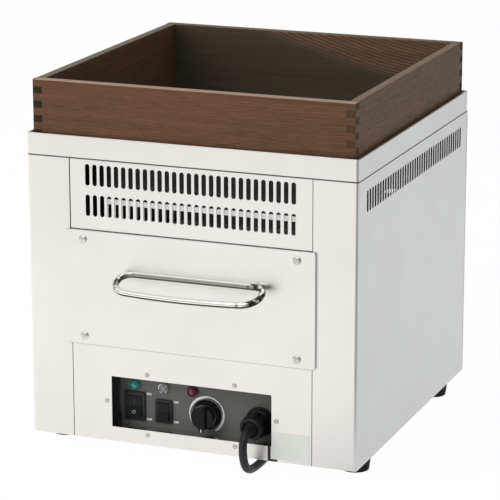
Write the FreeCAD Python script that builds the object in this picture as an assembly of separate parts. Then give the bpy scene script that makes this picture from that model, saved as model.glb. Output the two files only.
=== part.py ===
"""Electric fish roaster: a square sheet-metal cabinet with a timber guard round an open
roasting well, a drip drawer, and a recessed control tray at the foot.

Millimetres, +Z up. The origin is on the surface it stands on, under the middle of the cabinet.
The front faces -Y and +X is to the right of someone who faces it.
"""
import FreeCAD, Part
import math
import os

V = FreeCAD.Vector
X_AXIS, Y_AXIS, Z_AXIS = V(1, 0, 0), V(0, 1, 0), V(0, 0, 1)

# ---------------------------------------------------------------- cabinet
width = 400.0                  # side to side
depth = 409.0                  # front to back
foot_height = 15.0
body_height = 332.6            # folded body, from its lower edge up to the cover
cover_height = 25.4            # band of the top cover
sheet = 1.2                    # stainless sheet
corner_radius = 4.0            # outside of the upright bends
seam = 0.8                     # open line between neighbouring front panels
fit = 0.2                      # slip clearance between pieces of one body
run = 0.3                      # clearance between a moving piece and its seat
edge_round = 0.8               # rounded sheet edge at the line under the cover

# ---------------------------------------------------------------- front layout
stile_width = 52.5             # folded front edge of each side panel
stile_hem = 14.0               # return behind the stile
lower_panel_height = 113.4
drawer_front_height = 135.6
rear_return = 25.0             # folded rear edge of each side panel
flange = 12.0                  # folded edges of the flat panels

# ---------------------------------------------------------------- ventilation
slot_width = 5.5
slot_length = 25.0
slot_pitch = 8.906
front_slots = 29
front_row_drops = (18.5, 54.0)  # middles of the two rows, below the cover
side_slots = 40
side_row_drop = 27.5
side_slot_start = 31.0          # first side slot, behind the front face
back_slots = 12
back_slot_length = 60.0
back_slot_pitch = 14.0
back_slot_drop = 75.0           # middle of the upper group, below the cover
back_slot_rise = 62.0           # middle of the lower group, above the body's lower edge
pan_slots = 6
pan_slot_length = 44.0
pan_slot_pitch = 15.0
pan_slot_place = 95.0           # each group's middle, from the pan's middle
baffle_setback = 22.0           # slotted baffle behind the front panel
baffle_top_drop = 55.6
baffle_left = -112.0

# ---------------------------------------------------------------- cover and timber guard
ledge_width = 32.6              # from the cover's inner wall to the well
gasket_thickness = 2.0
gasket_gap = 1.6                # from the rim to the gasket
guard_inset = 6.2
board_thickness = 11.1
finger_height = 8.3
finger_count = 10
board_round = 1.2

# ---------------------------------------------------------------- roasting well
liner_lap = 13.0                # liner flange on the ledge, beyond its inner edge
liner_depth = 54.0              # straight walls
hopper_depth = 26.0
hopper_step = 27.0              # how far the hopper closes in on each side
heater_radius = 4.0
heater_drop = 40.0              # heater axis below the liner flange
heater_span = 44.0              # between the two runs of one element
heater_count = 3
heater_side_room = 51.5         # from the liner's front and back walls to the nearest run
heater_tip_room = 25.0          # from the liner's right wall to the hairpin bends
terminal_length = 12.0
terminal_radius = 7.0
rest_thickness = 3.0
rest_width = 14.0
rest_inset = 79.0               # from the liner's side walls
grate_drop = 21.0               # grate frame axis below the liner flange
grate_rod = 3.0
grate_wire = 1.5
grate_margin = 6.0
grate_corner = 14.0             # middle of the frame rod
grate_wire_count = 19
lug_length = 24.0
lug_width = 10.0

# ---------------------------------------------------------------- drawer
drawer_front_overlap = 4.3      # over each stile
drawer_front_thickness = 3.2
drawer_corner_radius = 3.0
drawer_box_inset = 7.5          # box side inside the stile's edge
drawer_box_depth = 352.0
drawer_side_height = 75.0
drawer_box_front_height = 129.0
drawer_lift = 0.4               # box floor above the folded edge of its front
drawer_screw_inset = (21.8, 10.6)  # from the front's upright and level edges
screw_head_radius = 5.0
screw_head_height = 2.8
screw_radius = 2.5
tray_gap = 6.0                  # drip tray to the drawer walls
tray_height = 40.0
tray_sheet = 1.0
tray_draft = 6.0
tray_rim = 4.0
tray_corner = 12.0
tray_rim_corner = 15.0
runner_foot = 22.0
runner_height = 22.0
runner_sheet = 1.5
runner_length = 372.0
rail_height = 6.0
rail_depth = 26.0

# ---------------------------------------------------------------- drawer handle
handle_offset = 8.0             # its middle, to the right of the drawer's middle
handle_half_width = 87.0
handle_reach = 42.0             # from the back bar to the middle of the front bar
handle_bow_radius = 700.0       # bend of the front bar
handle_tilt = 17.5              # the front bar hangs lower by this many degrees
handle_rod = 3.6
handle_back_radius = 14.0
handle_front_radius = 21.0
handle_height = 204.5           # back bar above the body's lower edge
stud_spacing = 110.0
stud_radius = 2.5
stud_nut_radius = 4.5
stud_nut_height = 1.6

# ---------------------------------------------------------------- control tray
window_width = 197.2
window_bottom = 17.4            # above the body's lower edge
window_height = 60.9
window_corner = 1.0
tray_setback = 25.0             # face of the control plate behind the front face
tray_margin = 3.0               # tray floor and ceiling beyond the window
tray_lip = 10.0                 # upper lip, riveted behind the lower panel
plate_thickness = 1.5
rivet_offset = 6.0              # rivets beyond the window's edges
rivet_spacing = 108.0
rivet_radius = 2.8
rivet_height = 0.8
end_flange = 11.0
keeper_width = 4.2

main_switch_inset = 18.6        # middle inside the window's left edge
heater_switch_inset = 54.8
main_switch_rise = 37.5         # middle above the body's lower edge
heater_switch_rise = 34.6
main_switch_size = (25.6, 35.0)
main_rocker_size = (17.0, 24.0)
heater_switch_size = (21.0, 28.4)
heater_rocker_size = (14.0, 21.0)
bezel_height = 2.5
bezel_round = 2.0
switch_body_step = 2.0
switch_body_depth = 27.0
rocker_angle = 8.0              # each way from level
rocker_rise = 2.2               # middle of the rocker's face above the bezel
rocker_dish = 1.0
rocker_pivot_depth = 1.8
rocker_body = 7.0
rocker_gap = 0.4
pin_radius = 1.5
pin_length = 0.8
pin_clearance = 0.06

lamp_height = 63.0
power_lamp_inset = 18.4         # middle inside the window's left edge
supply_lamp_inset = 55.0
heat_lamp_inset = 90.8
lamp_radius = 6.8
lamp_dome = 4.5
lamp_collar = 1.2
lamp_hole_radius = 5.0
lamp_body_length = 22.0

timer_inset = 89.0              # middle inside the window's right edge
timer_rise = 36.9
knob_skirt_radius = 17.6
knob_skirt_height = 3.0
knob_body_radius = 14.8
knob_height = 15.0
knob_grip_width = 9.0
knob_grip_rise = 3.5
knob_bore_depth = 8.0
shaft_radius = 3.0
shaft_clearance = 0.06
shaft_reach = 12.0              # into the timer, from the back of the tray
timer_body_size = (34.0, 34.0, 34.0)
timer_case_corner = 3.0
timer_tab_size = (6.4, 9.0, 0.8)
timer_tab_drop = 12.0           # middle of the tabs below the shaft
timer_tab_pitch = 12.0
bushing_radius = 6.0

inlet_inset = 23.2              # middle inside the window's right edge
inlet_rise = 36.8
inlet_radius = 17.2
inlet_flange_height = 4.0
inlet_body_radius = 14.0
inlet_body_length = 26.0
connector_back_radius = 16.0
connector_face_radius = 12.6
connector_length = 28.5
connector_groove = 1.0
collar_radius = 7.4
collar_depth = 2.5              # recess of the connector's end face, which the collar fills
collar_length = 3.5

terminal_block_size = (70.0, 22.0, 18.0)
terminal_block_place = (80.0, 40.0)     # inside the left side; behind the middle
terminal_ways = 5
contactor_size = (45.0, 60.0, 52.0)
contactor_place = (160.0, 20.0)         # inside the right side; behind the middle

# ---------------------------------------------------------------- feet
foot_top_radius = 18.0
foot_bottom_radius = 16.0
foot_side_inset = 19.0
front_foot_inset = 52.0
rear_foot_inset = 64.0
foot_recess_radius = 9.0
foot_recess_depth = 8.0
foot_screw_radius = 3.0
foot_screw_head_gap = 3.0       # round the head, in the recess
foot_screw_head_height = 3.0
foot_screw_end = 6.0            # beyond the pan
back_screw_radius = 4.0
back_screw_height = 2.2
back_screw_inset = 30.0         # from the body's upper and lower edges
head_edge = 0.4                 # share of a low head's height below its bevel
head_crown = 0.7                # share of its radius that is flat on top

# ---------------------------------------------------------------- mains lead
lead_radius = 4.8
lead_reach = 21.0               # straight out of the collar before the first bend
lead_drop_reach = 23.5          # where it hangs down
coil_radius = 56.0              # middle of its turns
coil_base_turns = 3             # side by side in the bottom layer
coil_top_turns = 2              # in the layer on it
coil_gap = 12.0                 # from the back of the cabinet to the coil
tail_angle = 120.0              # where the lead's end leaves the coil
tail_length = 56.0
plug_length = 40.0
plug_half_width = 14.4
plug_nose_half = 11.0
plug_blade = (6.4, 1.6, 18.0)   # width, thickness and length
plug_blade_spacing = 12.7
earth_pin_radius = 2.4

# ---------------------------------------------------------------- worked-out places
front = -depth / 2
back = depth / 2
half = width / 2
body_bottom = foot_height
body_top = body_bottom + body_height
rim_top = body_top + cover_height
stile_edge = half - stile_width
panel_half = stile_edge - seam
lower_panel_top = body_bottom + lower_panel_height
drawer_front_bottom = lower_panel_top + seam
drawer_front_top = drawer_front_bottom + drawer_front_height
vent_panel_bottom = drawer_front_top + seam
deck_top = lower_panel_top - sheet
ledge_top = body_top + sheet
guard_bottom = ledge_top + gasket_thickness
guard_half_x = half - guard_inset
guard_half_y = depth / 2 - guard_inset
liner_half_x = half - 2 * sheet - ledge_width
liner_half_y = depth / 2 - 2 * sheet - ledge_width
liner_top = ledge_top + sheet
heater_height = liner_top - heater_drop
heater_pitch = (2 * (liner_half_y - heater_side_room) - heater_span) / (heater_count - 1)
heater_far_end = liner_half_x - heater_tip_room - heater_span / 2
rest_place = liner_half_x - rest_inset
grate_height = liner_top - grate_drop
drawer_front_half = stile_edge + drawer_front_overlap
drawer_back_plane = front - run
drawer_face = drawer_back_plane - drawer_front_thickness
drawer_skin_back = drawer_face + sheet
drawer_box_bottom = drawer_front_bottom + sheet + drawer_lift
drawer_box_half = stile_edge - drawer_box_inset
plate_face = front + tray_setback
plate_back = plate_face + plate_thickness
tray_floor = body_bottom + window_bottom - tray_margin
tray_ceiling = body_bottom + window_bottom + window_height + tray_margin
window_middle = body_bottom + window_bottom + window_height / 2
window_half = window_width / 2
main_switch_place = (main_switch_inset - window_half, main_switch_rise)
heater_switch_place = (heater_switch_inset - window_half, heater_switch_rise)
power_lamp_x = power_lamp_inset - window_half
supply_lamp_x = supply_lamp_inset - window_half
heat_lamp_x = heat_lamp_inset - window_half
timer_place = (window_half - timer_inset, timer_rise)
inlet_place = (window_half - inlet_inset, inlet_rise)
connector_start = plate_face - inlet_flange_height
connector_face = connector_start - connector_length
collar_tip = connector_face + collar_depth - collar_length
outer_turn = coil_radius + (coil_base_turns - 1) * lead_radius
coil_reach = outer_turn + lead_radius
coil_hole = coil_radius - coil_base_turns * lead_radius
coil_height = 4 * lead_radius


# ---------------------------------------------------------------- helpers
def block(x0, x1, y0, y1, z0, z1):
    """A box between two corners."""
    return Part.makeBox(x1 - x0, y1 - y0, z1 - z0, V(x0, y0, z0))


def rounded_outline(half_x, half_y, radius):
    """A closed wire in the XY plane: a rectangle about the origin with round corners."""
    k = radius * (1 - math.sqrt(0.5))
    edges = []
    for quarter in range(4):
        ax, ay = (half_x, half_y) if quarter % 2 == 0 else (half_y, half_x)
        run_start = V(ax, -ay + radius, 0)
        run_end = V(ax, ay - radius, 0)
        arc_mid = V(ax - k, ay - k, 0)
        arc_end = V(ax - radius, ay, 0)
        turn = FreeCAD.Rotation(Z_AXIS, 90 * quarter)
        a, b, c, d = [turn.multVec(p) for p in (run_start, run_end, arc_mid, arc_end)]
        edges.append(Part.LineSegment(a, b).toShape())
        edges.append(Part.Arc(b, c, d).toShape())
    return Part.Wire(edges)


def slab(half_x, half_y, z0, z1, radius):
    """A round-cornered plate about the Z axis."""
    face = Part.Face(rounded_outline(half_x, half_y, radius))
    face.translate(V(0, 0, z0))
    return face.extrude(V(0, 0, z1 - z0))


def frame_ring(outer_x, outer_y, inner_x, inner_y, z0, z1, outer_radius, inner_radius):
    """A flat picture-frame plate."""
    outer = slab(outer_x, outer_y, z0, z1, outer_radius)
    inner = slab(inner_x, inner_y, z0 - 1, z1 + 1, inner_radius)
    return outer.cut(inner)


def facing(shape, y0):
    """Stand a plate that was drawn in the XY plane upright, its underside towards +Y at y0."""
    shape.rotate(V(0, 0, 0), X_AXIS, 90)
    shape.translate(V(0, y0, 0))
    return shape


def front_plate(half_x, half_z, y_face, thickness, radius, x=0.0, z=0.0):
    """A round-cornered plate whose face looks to -Y."""
    plate = facing(slab(half_x, half_z, 0, thickness, radius), y_face + thickness)
    plate.translate(V(x, 0, z))
    return plate


def rod(start, end, radius):
    """A round bar between two points."""
    way = end - start
    return Part.makeCylinder(radius, way.Length, start, way)


def stub(x, z, y0, y1, radius):
    """A round bar along +Y."""
    return rod(V(x, y0, z), V(x, y1, z), radius)


def slot_tool(length, y0, y1):
    """A cutter for one upright round-ended slot, about x = z = 0."""
    r = slot_width / 2
    h = length / 2 - r
    left = Part.LineSegment(V(-r, y0, h), V(-r, y0, -h)).toShape()
    bottom = Part.Arc(V(-r, y0, -h), V(0, y0, -h - r), V(r, y0, -h)).toShape()
    right = Part.LineSegment(V(r, y0, -h), V(r, y0, h)).toShape()
    top = Part.Arc(V(r, y0, h), V(0, y0, h + r), V(-r, y0, h)).toShape()
    face = Part.Face(Part.Wire([left, bottom, right, top]))
    return face.extrude(V(0, y1 - y0, 0))


def row_of(tool, count, pitch, direction):
    """Copies of a shape, centred on where it stands."""
    copies = []
    for index in range(count):
        offset = (index - (count - 1) / 2) * pitch
        copies.append(tool.translated(direction * offset))
    return copies


def revolved(points, x, z):
    """Turn an outline of (radius, distance along +Y) about an axis along Y through x, z."""
    wire = Part.makePolygon([V(r, y, 0) for r, y in points] + [V(points[0][0], points[0][1], 0)])
    solid = Part.Face(wire).revolve(V(0, 0, 0), Y_AXIS, 360)
    solid.translate(V(x, 0, z))
    return solid


def low_head(x, z, y, radius, rise):
    """Bevelled head of a screw or rivet on the face at y; it rises along +Y, or -Y below zero."""
    return revolved([(0, y), (radius, y), (radius, y + head_edge * rise),
                     (head_crown * radius, y + rise), (0, y + rise)], x, z)


def joined(first, *others):
    """One solid out of several that touch or overlap."""
    return first.fuse(list(others)).removeSplitter()


def save(name, *shapes):
    """Write one node."""
    solids = []
    for shape in shapes:
        solids.extend(shape.Solids)
    result = solids[0] if len(solids) == 1 else Part.makeCompound(solids)
    for solid in solids:
        if not solid.isValid():
            raise RuntimeError(name + " is not a valid solid")
    result.exportStep("parts/" + name + ".step")
    print("%-22s solids %3d  volume %10.0f" % (name, len(solids), sum(s.Volume for s in solids)))


# ---------------------------------------------------------------- folded body
def side_panel(side):
    """One side with its front stile, rear return and the row of slots near the top."""
    outer = slab(half, depth / 2, body_bottom, body_top, corner_radius)
    inner = slab(half - sheet, depth / 2 - sheet, body_bottom - 1, body_top + 1, corner_radius - sheet)
    shell = outer.cut(inner)
    rear_face = back - sheet
    keep_front = block(stile_edge, half + 1, front - 1, 0, body_bottom, body_top)
    keep_rear = block(half - sheet, half + 1, 0, rear_face, body_bottom, body_top)
    wall = shell.common(keep_front.fuse(keep_rear))
    hem = block(stile_edge, stile_edge + sheet, front, front + stile_hem, body_bottom, body_top)
    rear_flange = block(half - rear_return, half, rear_face - sheet, rear_face, body_bottom, body_top)
    inside = half - sheet
    top_flange = block(inside - flange, half - fit, front + stile_hem, rear_face - stile_hem,
                       body_top - sheet, body_top)
    panel = joined(wall, hem, rear_flange, top_flange)
    tool = slot_tool(slot_length, -half - 1, -half + sheet + 1)
    tool.rotate(V(0, 0, 0), Z_AXIS, 90)
    first = front + side_slot_start
    middle = first + (side_slots - 1) * slot_pitch / 2
    tool.translate(V(0, middle, body_top - side_row_drop))
    panel = panel.cut(row_of(tool, side_slots, slot_pitch, Y_AXIS))
    if side < 0:
        panel = panel.mirror(V(0, 0, 0), X_AXIS)
    return panel


def back_panel():
    """Flat rear panel with two stacks of level slots and a folded top edge."""
    plate = front_plate(half, body_height / 2, back - sheet, sheet, corner_radius,
                        z=body_bottom + body_height / 2)
    top = block(-half + rear_return + 1, half - rear_return - 1, back - flange, back,
                body_top - sheet, body_top)
    tool = slot_tool(back_slot_length, back - sheet - 1, back + 1)
    tool.rotate(V(0, 0, 0), Y_AXIS, 90)
    stack = row_of(tool, back_slots // 2, back_slot_pitch, Z_AXIS)
    cutters = []
    for x in (-width / 5, width / 5):
        for shape in stack:
            cutters.append(shape.translated(V(x, 0, body_top - back_slot_drop)))
            cutters.append(shape.translated(V(x, 0, body_bottom + back_slot_rise)))
    return joined(plate, top).cut(cutters)


def base_pan():
    """Bottom pan with an upturned edge all round and two groups of slots."""
    hx = half - sheet - fit
    y0, y1 = front + sheet + fit, back - 2 * sheet - fit
    hy, middle = (y1 - y0) / 2, (y0 + y1) / 2
    outer = slab(hx, hy, body_bottom, body_bottom + flange, corner_radius)
    inner = slab(hx - sheet, hy - sheet, body_bottom + sheet, body_bottom + flange + 1,
                 corner_radius - sheet)
    pan = outer.cut(inner)
    pan.translate(V(0, middle, 0))
    notch = block(stile_edge - fit, stile_edge + sheet + fit, front, front + stile_hem + fit,
                  body_bottom - 1, body_bottom + flange + 1)
    cutters = [notch, notch.mirror(V(0, 0, 0), X_AXIS)]
    for x, y in foot_places():
        cutters.append(rod(V(x, y, 0), V(x, y, body_bottom + flange), foot_screw_radius + fit))
    tool = slot_tool(pan_slot_length, body_bottom - 1, body_bottom + sheet + 1)
    tool.rotate(V(0, 0, 0), X_AXIS, 90)
    for x in (-pan_slot_place, pan_slot_place):
        for shape in row_of(tool, pan_slots, pan_slot_pitch, X_AXIS):
            cutters.append(shape.translated(V(x, pan_slot_place, 0)))
    return pan.cut(cutters)


def vent_panel():
    """Front grille: two rows of round-ended slots in a panel with four folded edges."""
    bottom, top = vent_panel_bottom, body_top
    face = block(-panel_half, panel_half, front, front + sheet, bottom, top)
    folds = [
        block(-panel_half, panel_half, front, front + flange, bottom, bottom + sheet),
        block(-panel_half, panel_half, front, front + flange, top - sheet, top),
        block(-panel_half, -panel_half + sheet, front, front + flange, bottom, top),
        block(panel_half - sheet, panel_half, front, front + flange, bottom, top),
    ]
    panel = joined(face, *folds)
    tool = slot_tool(slot_length, front - 1, front + sheet + 1)
    cutters = []
    for drop in front_row_drops:
        row = row_of(tool, front_slots, slot_pitch, X_AXIS)
        cutters.extend(s.translated(V(0, 0, body_top - drop)) for s in row)
    return panel.cut(cutters)


def vent_baffle():
    """Slotted strip behind the lower row, standing on the drawer's head rail."""
    y = front + baffle_setback
    top = body_top - baffle_top_drop
    foot = block(baffle_left, panel_half - 2 * fit, y, y + flange / 2 - 1,
                 vent_panel_bottom, vent_panel_bottom + sheet)
    strip = block(baffle_left, panel_half - 2 * fit, y, y + sheet, vent_panel_bottom, top)
    tool = slot_tool(slot_length / 1.6, y - 1, y + sheet + 1)
    middle = top - 5.0 - slot_length / 3.2
    cutters = []
    for shape in row_of(tool, front_slots, slot_pitch, X_AXIS):
        if shape.BoundBox.XMin > baffle_left + 1:
            cutters.append(shape.translated(V(0, 0, middle)))
    return joined(foot, strip).cut(cutters)


def head_rail():
    """Channel over the drawer; the vent panel and the baffle stand on it."""
    end = stile_edge - fit
    y0, y1 = front + sheet + fit, front + sheet + fit + rail_depth
    top = vent_panel_bottom
    body = block(-end, end, y0, y1, top - rail_height, top)
    hollow = block(-end - 1, end + 1, y0 + sheet, y1 - sheet, top - rail_height - 1, top - sheet)
    return body.cut(hollow)


def lower_panel():
    """Front panel at the foot, with the window to the control tray."""
    face = block(-panel_half, panel_half, front, front + sheet, body_bottom, lower_panel_top)
    top = block(-panel_half, panel_half, front, front + stile_hem + 4, deck_top, lower_panel_top)
    left = block(-panel_half, -panel_half + sheet, front, front + flange,
                 body_bottom + flange + 2, lower_panel_top)
    panel = joined(face, top, left, left.mirror(V(0, 0, 0), X_AXIS))
    window = front_plate(window_half, window_height / 2, front - 1, sheet + 2, window_corner,
                         z=window_middle)
    return panel.cut(window)


def drawer_deck():
    """Level sheet between the drawer bay and the control compartment."""
    hx = half - sheet - fit
    y0 = front + stile_hem + fit
    y1 = back - 2 * sheet - fit
    sheet_top = deck_top
    plate = block(-hx, hx, y0, y1, sheet_top - sheet, sheet_top)
    fold = block(-hx, -hx + sheet, y0, y1 - rear_return, sheet_top - flange, sheet_top)
    return joined(plate, fold, fold.mirror(V(0, 0, 0), X_AXIS))


def top_cover():
    """Folded band: outer wall, rolled rim, inner wall, and the ledge that the guard stands on."""
    r = corner_radius
    wall = frame_ring(half, depth / 2, half - sheet, depth / 2 - sheet, body_top, rim_top, r, r - sheet)
    lining = frame_ring(half - sheet, depth / 2 - sheet, half - 2 * sheet, depth / 2 - 2 * sheet,
                        ledge_top - sheet, rim_top, r - sheet, r - 2 * sheet)
    ledge = frame_ring(half - sheet, depth / 2 - sheet, liner_half_x, liner_half_y,
                       ledge_top - sheet, ledge_top, r - sheet, 1.0)
    cover = joined(wall, lining, ledge)
    rounded = []
    for edge in cover.Edges:
        box = edge.BoundBox
        on_rim = abs(box.ZMin - rim_top) < 0.01 and abs(box.ZMax - rim_top) < 0.01
        on_foot = abs(box.ZMin - body_top) < 0.01 and abs(box.ZMax - body_top) < 0.01
        reach = max(abs(box.XMin), abs(box.XMax)) > half - r or max(abs(box.YMin), abs(box.YMax)) > back - r
        if on_rim or (on_foot and reach):
            rounded.append(edge)
    return cover.makeFillet(edge_round, rounded)


# ---------------------------------------------------------------- timber guard
def end_fingers(board_end, y0, y1, odd):
    """Cutters that leave every second finger at one end of a board."""
    cutters = []
    for index in range(finger_count):
        if (index % 2 == 0) == odd:
            continue
        z0 = guard_bottom + index * finger_height
        cutters.append(block(board_end, board_end + board_thickness, y0, y1, z0, z0 + finger_height))
    return cutters


def guard_board(length_half, thickness_at, odd):
    """A board along X whose ends are cut to fingers; its inner face is at thickness_at."""
    top = guard_bottom + finger_count * finger_height
    y0, y1 = thickness_at - board_thickness, thickness_at
    board = block(-length_half, length_half, y0, y1, guard_bottom, top)
    long_edges = [e for e in board.Edges
                  if e.BoundBox.ZMin > top - 0.01 and e.BoundBox.XLength > board_thickness]
    board = board.makeFillet(board_round, long_edges)
    cutters = end_fingers(-length_half, y0, y1, odd)
    cutters += end_fingers(length_half - board_thickness, y0, y1, odd)
    return board.cut(cutters)


def guard_boards():
    """Front, back, left and right boards, box-jointed at the corners."""
    front_board = guard_board(guard_half_x, -guard_half_y + board_thickness, False)
    back_board = front_board.mirror(V(0, 0, 0), Y_AXIS)
    left_board = guard_board(guard_half_y, -guard_half_x + board_thickness, True)
    left_board.rotate(V(0, 0, 0), Z_AXIS, -90)
    right_board = left_board.mirror(V(0, 0, 0), X_AXIS)
    return front_board, back_board, left_board, right_board


def guard_gasket():
    """Black strip under the guard that fills the foot of the groove."""
    outer = 2 * sheet + gasket_gap
    inner = guard_inset + board_thickness + 1
    return frame_ring(half - outer, depth / 2 - outer, half - inner, depth / 2 - inner,
                      ledge_top, guard_bottom, 1.0, 1.0)


# ---------------------------------------------------------------- roasting well
def hopper(shrink):
    """Solid of the well: straight walls over a hopper; shrink takes it inside the sheet."""
    hx, hy = liner_half_x - fit - shrink, liner_half_y - fit - shrink
    straight = slab(hx, hy, liner_top - liner_depth, liner_top + 1, 6.0 - shrink)
    top = rounded_outline(hx, hy, 6.0 - shrink)
    top.translate(V(0, 0, liner_top - liner_depth))
    low = rounded_outline(hx - hopper_step, hy - hopper_step, 6.0 - shrink)
    low.translate(V(0, 0, liner_top - liner_depth - hopper_depth))
    return straight.fuse(Part.makeLoft([low, top], True, True))


def heater_rows():
    """The Y place of each run of each element."""
    middles = [(i - (heater_count - 1) / 2) * heater_pitch for i in range(heater_count)]
    return [(m - heater_span / 2, m + heater_span / 2) for m in middles]


def chamber_liner():
    """Folded tub with a flange on the ledge, an open hopper, heater holes and grate lugs."""
    flange_ring = frame_ring(liner_half_x + liner_lap, liner_half_y + liner_lap,
                             liner_half_x - fit - sheet, liner_half_y - fit - sheet,
                             ledge_top, liner_top, 2.0, 6.0 - sheet)
    outer = hopper(0).common(block(-half, half, front, back, 0, liner_top))
    tub = outer.cut(hopper(sheet))
    throat = slab(liner_half_x - fit - sheet - hopper_step, liner_half_y - fit - sheet - hopper_step,
                  0, liner_top, 3.0)
    tub = tub.cut(throat)
    lugs = []
    wall = liner_half_x - fit
    lug_top = grate_height - grate_rod - run
    for x_side in (-1, 1):
        for y_side in (-1, 1):
            x0, x1 = sorted((x_side * (wall - lug_width), x_side * (wall - fit)))
            y = y_side * liner_half_y * 0.6
            lugs.append(block(x0, x1, y - lug_length / 2, y + lug_length / 2, lug_top - sheet, lug_top))
    liner = joined(tub, flange_ring, *lugs)
    holes = []
    for pair in heater_rows():
        for y in pair:
            holes.append(rod(V(-half, y, heater_height), V(-liner_half_x + 5, y, heater_height),
                             heater_radius + 0.1))
    return liner.cut(holes)


def heater(pair):
    """One hairpin sheath element."""
    y0, y1 = pair
    start = -liner_half_x - terminal_length
    z = heater_height
    bend = heater_span / 2
    first = Part.LineSegment(V(start, y0, z), V(heater_far_end, y0, z)).toShape()
    tip = V(heater_far_end + bend, (y0 + y1) / 2, z)
    turn = Part.Arc(V(heater_far_end, y0, z), tip, V(heater_far_end, y1, z)).toShape()
    second = Part.LineSegment(V(heater_far_end, y1, z), V(start, y1, z)).toShape()
    circle = Part.Wire(Part.Circle(V(start, y0, z), X_AXIS, heater_radius).toShape())
    return Part.Wire([first, turn, second]).makePipeShell([circle], True, True)


def heater_terminals():
    """Ceramic bushes on the elements' cold ends, against the outside of the liner."""
    bushes = []
    face = -liner_half_x
    for pair in heater_rows():
        for y in pair:
            bush = rod(V(face - terminal_length + 3, y, heater_height), V(face, y, heater_height),
                       terminal_radius)
            bore = rod(V(-half, y, heater_height), V(0, y, heater_height), heater_radius + 0.1)
            bushes.append(bush.cut(bore))
    return bushes


def heater_rests():
    """Two bars across the well; the elements lie in their notches."""
    bars = []
    reach = liner_half_y - fit - sheet - fit
    top = heater_height + heater_radius * 0.4
    for x in (-rest_place, rest_place):
        bar = block(x - rest_thickness / 2, x + rest_thickness / 2, -reach, reach, top - rest_width, top)
        notches = []
        for pair in heater_rows():
            for y in pair:
                notches.append(rod(V(x - 5, y, heater_height), V(x + 5, y, heater_height),
                                   heater_radius + 0.1))
        bars.append(bar.cut(notches))
    return bars


def grate():
    """Wire grate: a rod frame with cross wires fused into it."""
    hx = liner_half_x - fit - sheet - grate_margin
    hy = liner_half_y - fit - sheet - grate_margin
    path = rounded_outline(hx, hy, grate_corner)
    circle = Part.Wire(Part.Circle(V(hx, 0, 0), Y_AXIS, grate_rod).toShape())
    frame = path.makePipeShell([circle], True, True)
    frame.translate(V(0, 0, grate_height))
    pitch = 2 * (hx - grate_corner) / (grate_wire_count - 1)
    z = grate_height + grate_rod - grate_wire
    wire = rod(V(0, -hy, z), V(0, hy, z), grate_wire)
    wires = row_of(wire, grate_wire_count, pitch, X_AXIS)
    return frame.fuse(wires)


# ---------------------------------------------------------------- drawer
def drawer_front():
    """Face sheet folded back along its four edges, with holes for screws and studs."""
    height = drawer_front_height
    middle = drawer_front_bottom + height / 2
    plate = front_plate(drawer_front_half, height / 2, drawer_face, drawer_front_thickness,
                        drawer_corner_radius, z=middle)
    hollow = front_plate(drawer_front_half - sheet, height / 2 - sheet, drawer_skin_back,
                         drawer_front_thickness, drawer_corner_radius - sheet, z=middle)
    panel = plate.cut(hollow)
    face_edges = [e for e in panel.Edges if abs(e.BoundBox.YMax - drawer_face) < 0.01]
    panel = panel.makeFillet(0.7, face_edges)
    holes = [stub(x, z, drawer_face - 1, drawer_back_plane, screw_radius + 0.2)
             for x, z in drawer_screw_places()]
    holes += [stub(x, stud_height(), drawer_face - 1, drawer_back_plane, stud_radius + 0.2)
              for x in stud_places()]
    return panel.cut(holes)


def drawer_screw_places():
    """Middles of the four screws."""
    side = drawer_front_half - drawer_screw_inset[0]
    low = drawer_front_bottom + drawer_screw_inset[1]
    high = drawer_front_top - drawer_screw_inset[1]
    return [(x, z) for x in (-side, side) for z in (low, high)]


def stud_places():
    """X places of the handle's two studs."""
    return [handle_offset - stud_spacing / 2, handle_offset + stud_spacing / 2]


def stud_height():
    """Height of the handle's back bar."""
    return body_bottom + handle_height


def drawer_box():
    """Open tray behind the front: a tall front wall, lower sides and back."""
    y0, y1 = drawer_skin_back, drawer_skin_back + drawer_box_depth
    z0 = drawer_box_bottom
    outer = block(-drawer_box_half, drawer_box_half, y0, y1, z0, z0 + drawer_box_front_height)
    inner = block(-drawer_box_half + sheet, drawer_box_half - sheet, y0 + sheet, y1 - sheet,
                  z0 + sheet, z0 + drawer_box_front_height + 1)
    low_sides = block(-half, half, y0 + sheet, y1 + 1,
                      z0 + drawer_side_height, z0 + drawer_box_front_height + 1)
    holes = [stub(x, z, y0 - 1, y0 + sheet + 1, screw_radius + 0.2) for x, z in drawer_screw_places()]
    nut_room = [stub(x, stud_height(), y0 - 1, y0 + sheet + 1, stud_nut_radius + 1)
                for x in stud_places()]
    return outer.cut([inner, low_sides] + holes + nut_room)


def drawer_screws():
    """Domed screws through the drawer's front into its box, with a nut behind."""
    screws = []
    for x, z in drawer_screw_places():
        head = Part.makeSphere(screw_head_radius * 1.3, V(x, drawer_face + screw_head_radius * 1.3
                                                          - screw_head_height, z))
        head = head.common(stub(x, z, drawer_face - screw_head_height - 1, drawer_face,
                                screw_head_radius))
        slot = block(x - screw_head_radius, x + screw_head_radius,
                     drawer_face - screw_head_height - 1, drawer_face - screw_head_height + 1.0,
                     z - 0.5, z + 0.5)
        cross = slot.copy()
        cross.rotate(V(x, 0, z), Y_AXIS, 90)
        inner_face = drawer_skin_back + sheet
        shank = stub(x, z, drawer_face - 0.5, inner_face + 4, screw_radius)
        nut = stub(x, z, inner_face, inner_face + 3, screw_radius * 1.7)
        screws.append(joined(head.cut([slot, cross]), shank, nut))
    return screws


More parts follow.
